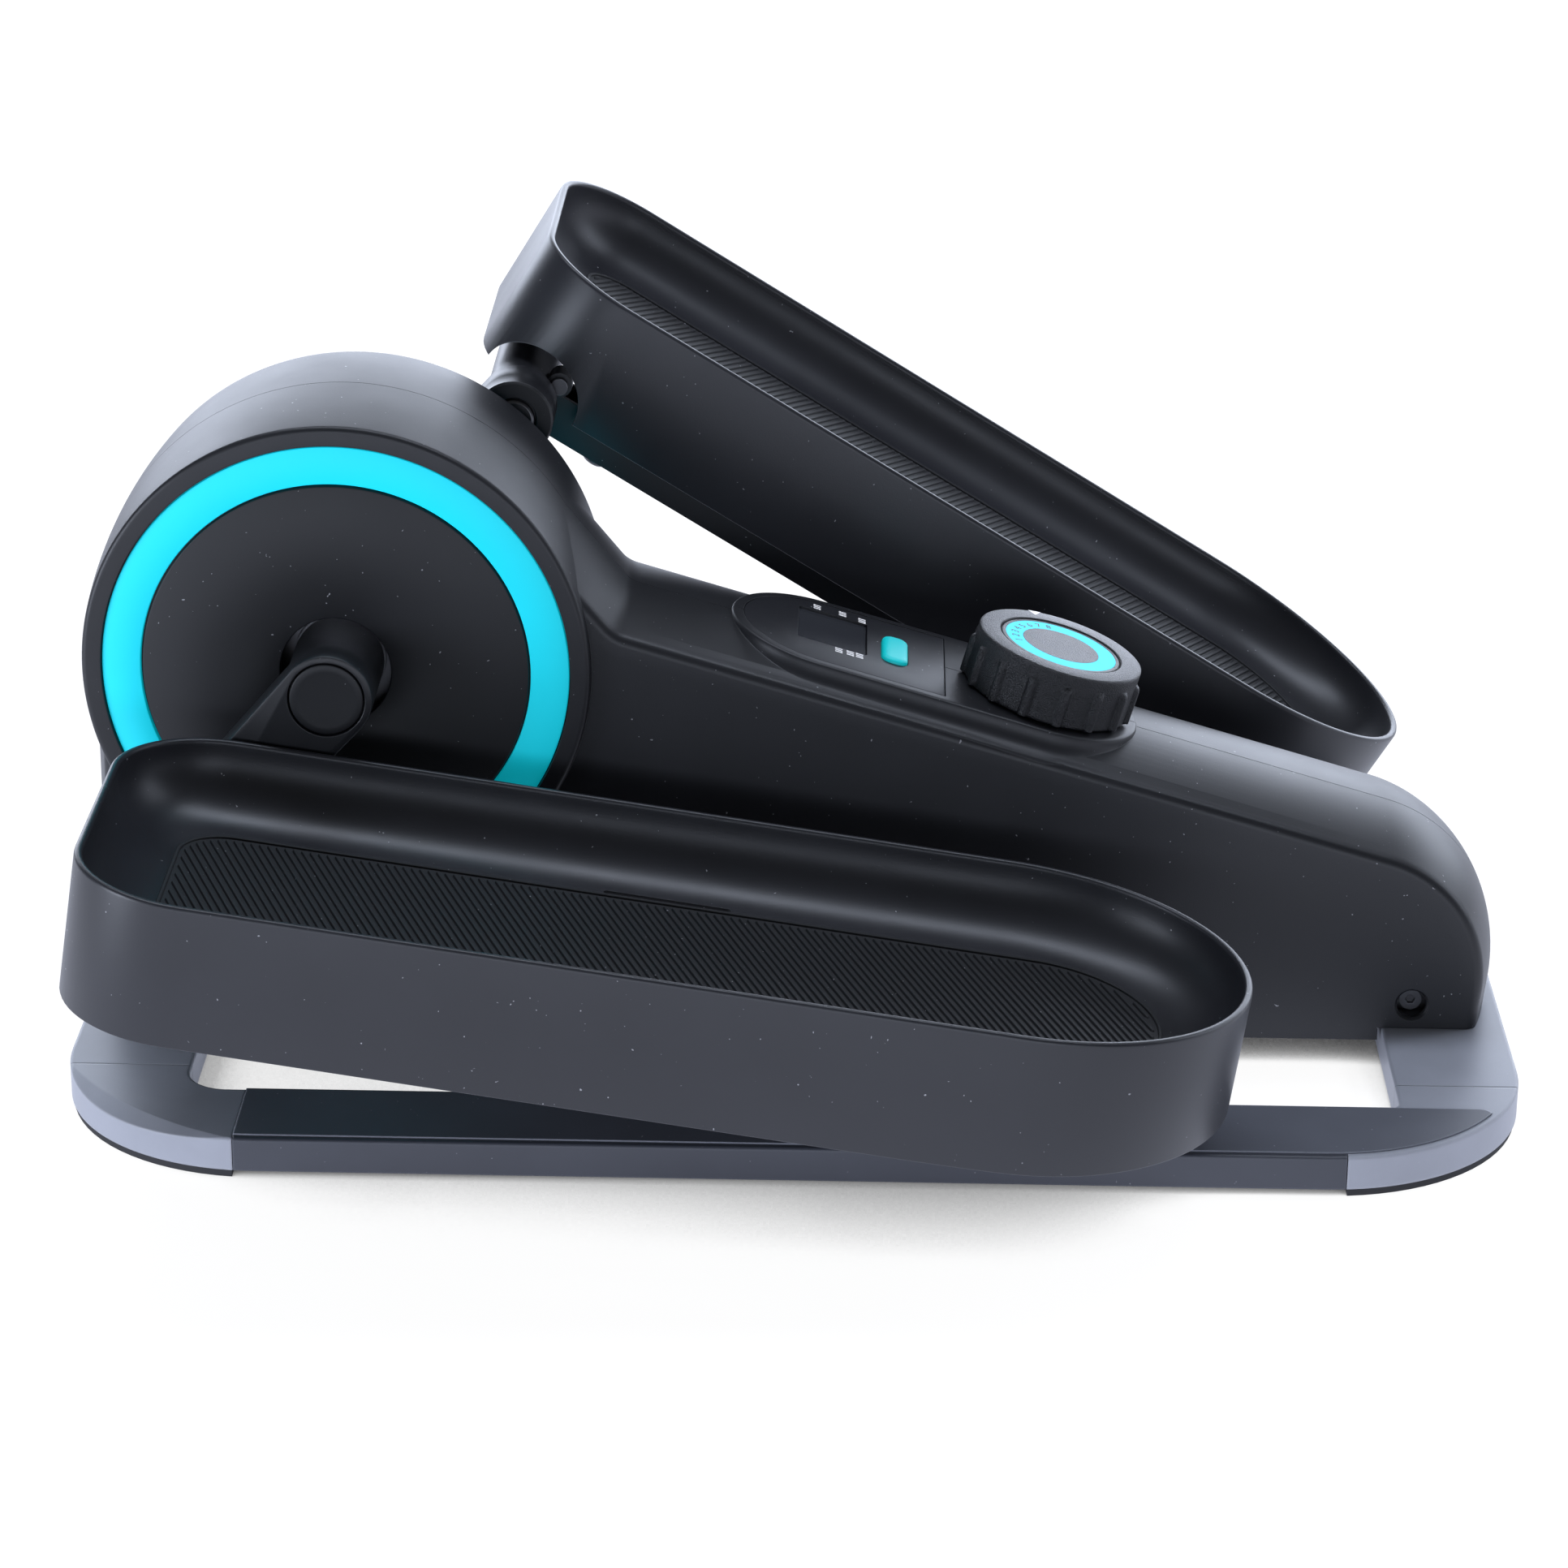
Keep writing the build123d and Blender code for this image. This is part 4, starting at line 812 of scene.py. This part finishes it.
def knob_grip():
    """A flared grip whose ribs start below a plain collar and run down to the skirt."""
    steps = KNOB_RIBS * 24
    angle = np.linspace(0, 2 * math.pi, steps, endpoint=False)
    phase = (angle * KNOB_RIBS / (2 * math.pi)) % 1.0 - 0.5
    wall_top, wall_low = KNOB_TOP_RADIUS - 0.2, KNOB_BASE_RADIUS - 1.9
    rib_top, rib_half, rib_rise = KNOB_HEIGHT * 0.76, 1.9, 1.85
    top = KNOB_HEIGHT

    def wall(height):
        return wall_low + (wall_top - wall_low) * height / KNOB_HEIGHT

    def ring(radius, height, rib=0.0):
        offset = phase * 2 * math.pi * radius / KNOB_RIBS
        r = radius + rib * np.sqrt(np.clip(1 - (offset / rib_half) ** 2, 0, 1))
        level = np.full(steps, KNOB_SEAT + height)
        return np.stack([KNOB_S + r * np.cos(angle), r * np.sin(angle), level], 1)

    skirt = [(KNOB_BASE_RADIUS - 4.2, 14.0), (KNOB_BASE_RADIUS - 4.2, 0.5), (KNOB_BASE_RADIUS - 3.6, 0.0)]
    rings = [ring(*place) for place in skirt] + [ring(wall_low - 0.5, 0.0, 0.9)]
    for height in np.linspace(0.5, rib_top, 22):
        fade = math.sqrt(max(0.0, 1 - max(0.0, (height - rib_top + 2.6) / 2.6) ** 2))
        rings.append(ring(wall(height), height, rib_rise * fade))
    collar = [(wall(height), height) for height in (rib_top + 0.4, top - 2.0, top - 1.0)]
    face = [(wall_top - 0.2, top - 0.4), (wall_top - 0.9, top), (25.2, top), (24.8, top), (24.4, top - 0.5)]
    well = [(24.3, top - 1.6), (4.0, top - 1.6), (4.0, top - 4.0), (6.0, top - 4.0)]
    sleeve = [(6.0, 0.2), (9.0, 0.2), (9.0, 14.0)]
    rings += [ring(*place) for place in collar + face + well + sleeve]
    return sloped(loft(rings, looped=True))


def dial_disc():
    """The fixed disc on its stem, with a shallow pocket for the coloured ring."""
    top, rim = DIAL_TOP, DIAL_RADIUS
    profile = [(DIAL_STEM, KNOB_SEAT - 26), (DIAL_STEM, top - 0.9), (rim - 0.3, top - 0.9), (rim, top - 0.6),
               (rim, top - 0.25), (rim - 0.3, top), (DIAL_OUTER + 0.05, top), (DIAL_OUTER + 0.05, top - 0.35),
               (DIAL_INNER - 0.05, top - 0.35), (DIAL_INNER - 0.05, top)]
    return sloped(slab([(circle(KNOB_S, 0, radius, 144), height) for radius, height in profile]))


def dial_ring():
    low, high = DIAL_TOP - 0.34, DIAL_TOP - 0.02
    profile = [(DIAL_INNER, low), (DIAL_OUTER, low), (DIAL_OUTER, high), (DIAL_INNER, high)]
    return sloped(slab([(circle(KNOB_S, 0, radius, 144), height) for radius, height in profile], looped=True))


def button_outline(grow):
    """The key's outline, grown or shrunk; its corners keep some radius."""
    return rounded_rectangle(BUTTON_S, BUTTON_Y, BUTTON_LENGTH + 2 * grow, BUTTON_WIDTH + 2 * grow,
                             max(BUTTON_CORNER + grow, 0.6), 12)


def console_plate():
    """The D-shaped plate, pierced for the window and the key."""
    top = PLATFORM_HEIGHT
    levels = ((0, top - PLATE_THICKNESS), (0, top - 0.3), (0.12, top - 0.1), (0.4, top))
    plate = make_object("plate", *slab([(console_outline(shrink), height) for shrink, height in levels]))
    window = rounded_rectangle(WINDOW_S, WINDOW_Y, WINDOW_LENGTH, WINDOW_WIDTH, 1.2)
    for hole in (window, button_outline(BUTTON_GAP)):
        cut(plate, straight_slab(hole, -8, 8))
    for vertex in plate.data.vertices:
        vertex.co = Vector(on_slope([[c / MM for c in vertex.co]])[0] * MM)
    return plate


def mode_button():
    """A softly domed key on a stem."""
    top = PLATFORM_HEIGHT
    levels = [(0.2, top - 2.6), (0.0, top - 2.2), (0.0, top + 0.2), (0.15, top + 0.8), (0.55, top + 1.3),
              (1.2, top + 1.62), (2.2, top + 1.78), (3.6, top + 1.8)]
    key = slab([(button_outline(-shrink), height) for shrink, height in levels])
    stem = straight_slab(rounded_rectangle(BUTTON_S, BUTTON_Y, 4, 8, 0.5), top - 3.8, top - 2.0)
    return sloped(merged([key, stem]))


rebuilt("tension_knob", knob_grip(), degrees=50)
rebuilt("dial_disc", dial_disc())
rebuilt("dial_ring", dial_ring())
rebuilt("console_plate", console_plate(), degrees=25)
rebuilt("mode_button", mode_button(), degrees=40)


def printed(name, outlines, height, material, body):
    """Thin printed marks that stand a hair above their surface."""
    marks = merged([sloped(straight_slab(outline, height - 0.02, height + 0.03)) for outline in outlines])
    return finish_piece(make_object(name, *marks), material, body)


def reading_mark(s, y):
    """Three small strokes, each a bar with a cross stroke, in place of a word."""
    strokes = []
    for i, width in enumerate((1.5, 1.1, 1.5)):
        at = y + (i - 1) * 1.75
        strokes.append(rounded_rectangle(s, at, 3.0, 0.95, 0.3, 4))
        strokes.append(rounded_rectangle(s + 1.1 - 1.1 * i, at, 0.8, width, 0.2, 4))
    return strokes


# One mark beside the window for each of its readings: three on the far side, three on the near side
READINGS = ((-52.0, 26.7), (-41.6, 27.0), (-33.6, 25.6), (-42.6, -15.6), (-38.0, -15.4), (-34.3, -15.2))
strokes = [stroke for place in READINGS for stroke in reading_mark(*place)]
# the marks and the pointer use mark_white, whose glow is painted light
printed("console_marks", strokes, PLATFORM_HEIGHT, "mark_white", "frame")
pointer = np.array([(KNOB_S - 12.6, 30.2), (KNOB_S - 9.6, 26.6), (KNOB_S - 7.4, 31.6)])
printed("knob_pointer", [pointer], KNOB_SEAT + KNOB_HEIGHT, "mark_white", "knob")


def dial_digits():
    """The numbers 1 to 8 round the dial, turned to read from its middle."""
    parts = []
    for number in range(1, 9):
        angle = math.radians(DIGIT_START - DIGIT_STEP * (number - 1))
        curve = bpy.data.curves.new("digit", "FONT")
        curve.body = str(number)
        curve.size = DIGIT_SIZE
        curve.align_x = "CENTER"
        curve.align_y = "CENTER"
        curve.extrude = 0.02
        text = bpy.data.objects.new("digit", curve)
        bpy.context.scene.collection.objects.link(text)
        bpy.context.view_layer.update()
        mesh = bpy.data.meshes.new_from_object(text.evaluated_get(bpy.context.evaluated_depsgraph_get()))
        turn = angle - math.pi / 2
        points = []
        for vertex in mesh.vertices:
            x, y, z = vertex.co
            points.append((KNOB_S + DIGIT_RADIUS * math.cos(angle) + x * math.cos(turn) - y * math.sin(turn),
                           DIGIT_RADIUS * math.sin(angle) + x * math.sin(turn) + y * math.cos(turn),
                           DIAL_TOP + z))
        parts.append((on_slope(points), [tuple(p.vertices) for p in mesh.polygons]))
        bpy.data.objects.remove(text)
    return merged(parts)


finish_piece(make_object("dial_digits", *dial_digits()), "digit_dark", "frame")


# ---------------------------------------------------------------- carried CAD pieces

replaced = {n for o in bpy.data.objects for n in o.get("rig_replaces", [])}
for name, obj in frame["nodes"].items():
    if name in replaced:
        continue
    shade(obj, 30)
    obj.data.materials.clear()
    obj.data.materials.append(FINISH[SLOT[name]])


# ---------------------------------------------------------------- stage, light and camera

FLOOR_GLOW = (0.87, 0.86)      # share of the floor that glows, for other rays and for camera rays
FLOOR_COLOUR = (0.90, 0.91, 0.95, 1)
GLOW_COLOURS = ((0.97, 1.02, 1.20, 1), (1, 1, 1, 1))
SHADE_REACH = 0.16             # metres over which the object darkens the floor under it
WORLD_LIGHT = (0.10, 1.1)
WORLD_COLOUR = (0.94, 0.96, 1.0, 1)
COOL = (0.78, 0.85, 1.0)
AIM = (0.0, 0.03, 0.1)
PANELS = [
    ("back", (0.1, 2.6, 0.75), (5.0, 1.3), 105),
    ("top", (0.05, 0.40, 2.0), (2.0, 0.35), 22),
    ("left", (-1.8, -1.0, 0.35), (0.8, 0.7), 22),
    ("front", (0.0, -2.3, 0.26), (2.8, 0.4), 15),
    ("right", (1.7, 0.4, 0.8), (0.7, 1.2), 9),
]
CAMERA_PLACE = (0.0261, -1.6683, 0.7532)
CAMERA_YAW, CAMERA_PITCH, CAMERA_ROLL = -1.1, 21.5, 0.5
LENS, SENSOR = 104.9, 36


def area_light(name, place, size, power):
    data = bpy.data.lights.new(name, "AREA")
    data.shape = "RECTANGLE"
    data.size, data.size_y = size
    data.energy = power
    data.color = COOL
    light = bpy.data.objects.new(name, data)
    bpy.context.scene.collection.objects.link(light)
    light.location = place
    light.visible_camera = False
    aim = Vector(AIM) - Vector(place)
    light.rotation_euler = aim.to_track_quat("-Z", "Y").to_euler()


def camera_switch(tree):
    """1 for rays straight from the camera, else 0."""
    return tree.nodes.new("ShaderNodeLightPath").outputs["Is Camera Ray"]


def floor_glow(tree):
    """White light from the floor, less of it close under the object."""
    glow = tree.nodes.new("ShaderNodeEmission")
    tint = tree.nodes.new("ShaderNodeMix")
    tint.data_type = "RGBA"
    tint.inputs[6].default_value, tint.inputs[7].default_value = GLOW_COLOURS
    tree.links.new(camera_switch(tree), tint.inputs["Factor"])
    tree.links.new(tint.outputs[2], glow.inputs["Color"])
    openness = node(tree, "ShaderNodeAmbientOcclusion", Distance=SHADE_REACH)
    openness.samples = 16
    tree.links.new(ranged(tree, openness.outputs["AO"], 0.0, 1.12, 0.0, 0.30), glow.inputs["Strength"])
    return glow.outputs["Emission"]


def build_floor():
    floor = make_object("floor", *box_shape((-6000, -4000, -20), (6000, 8000, -0.05)))
    ground = bpy.data.materials.new("floor_white")
    ground.use_nodes = True
    tree = ground.node_tree
    shader = tree.nodes["Principled BSDF"]
    shader.inputs["Base Color"].default_value = FLOOR_COLOUR
    mottle = node(tree, "ShaderNodeTexNoise", Scale=3.0, Detail=3.0)
    tree.links.new(ranged(tree, mottle.outputs["Fac"], 0.55, 0.65), shader.inputs["Roughness"])
    mix = tree.nodes.new("ShaderNodeMixShader")
    tree.links.new(ranged(tree, camera_switch(tree), *FLOOR_GLOW), mix.inputs["Fac"])
    tree.links.new(shader.outputs["BSDF"], mix.inputs[1])
    tree.links.new(floor_glow(tree), mix.inputs[2])
    tree.links.new(mix.outputs["Shader"], tree.nodes["Material Output"].inputs["Surface"])
    floor.data.materials.append(ground)


def build_world():
    """White to the camera, but dim for the object, which the panels light."""
    world = bpy.data.worlds.new("studio")
    bpy.context.scene.world = world
    world.use_nodes = True
    tree = world.node_tree
    back = tree.nodes["Background"]
    back.inputs["Color"].default_value = WORLD_COLOUR
    tree.links.new(ranged(tree, camera_switch(tree), *WORLD_LIGHT), back.inputs["Strength"])


def build_camera():
    yaw, pitch, roll = (math.radians(a) for a in (CAMERA_YAW, CAMERA_PITCH, CAMERA_ROLL))
    forward = Vector((math.sin(yaw) * math.cos(pitch), math.cos(yaw) * math.cos(pitch), -math.sin(pitch)))
    right = Vector((math.cos(yaw), -math.sin(yaw), 0))
    up = right.cross(forward)
    across = right * math.cos(roll) + up * math.sin(roll)
    upward = -right * math.sin(roll) + up * math.cos(roll)
    data = bpy.data.cameras.new("camera")
    data.sensor_width = SENSOR
    data.lens = LENS
    camera = bpy.data.objects.new("camera", data)
    bpy.context.scene.collection.objects.link(camera)
    turn = Matrix((across, upward, -forward)).transposed().to_4x4()
    camera.matrix_world = Matrix.Translation(CAMERA_PLACE) @ turn
    bpy.context.scene.camera = camera


build_floor()
build_world()
for panel in PANELS:
    area_light(*panel)
build_camera()
bpy.context.scene.view_settings.view_transform = "Standard"
bpy.context.scene.view_settings.look = "None"
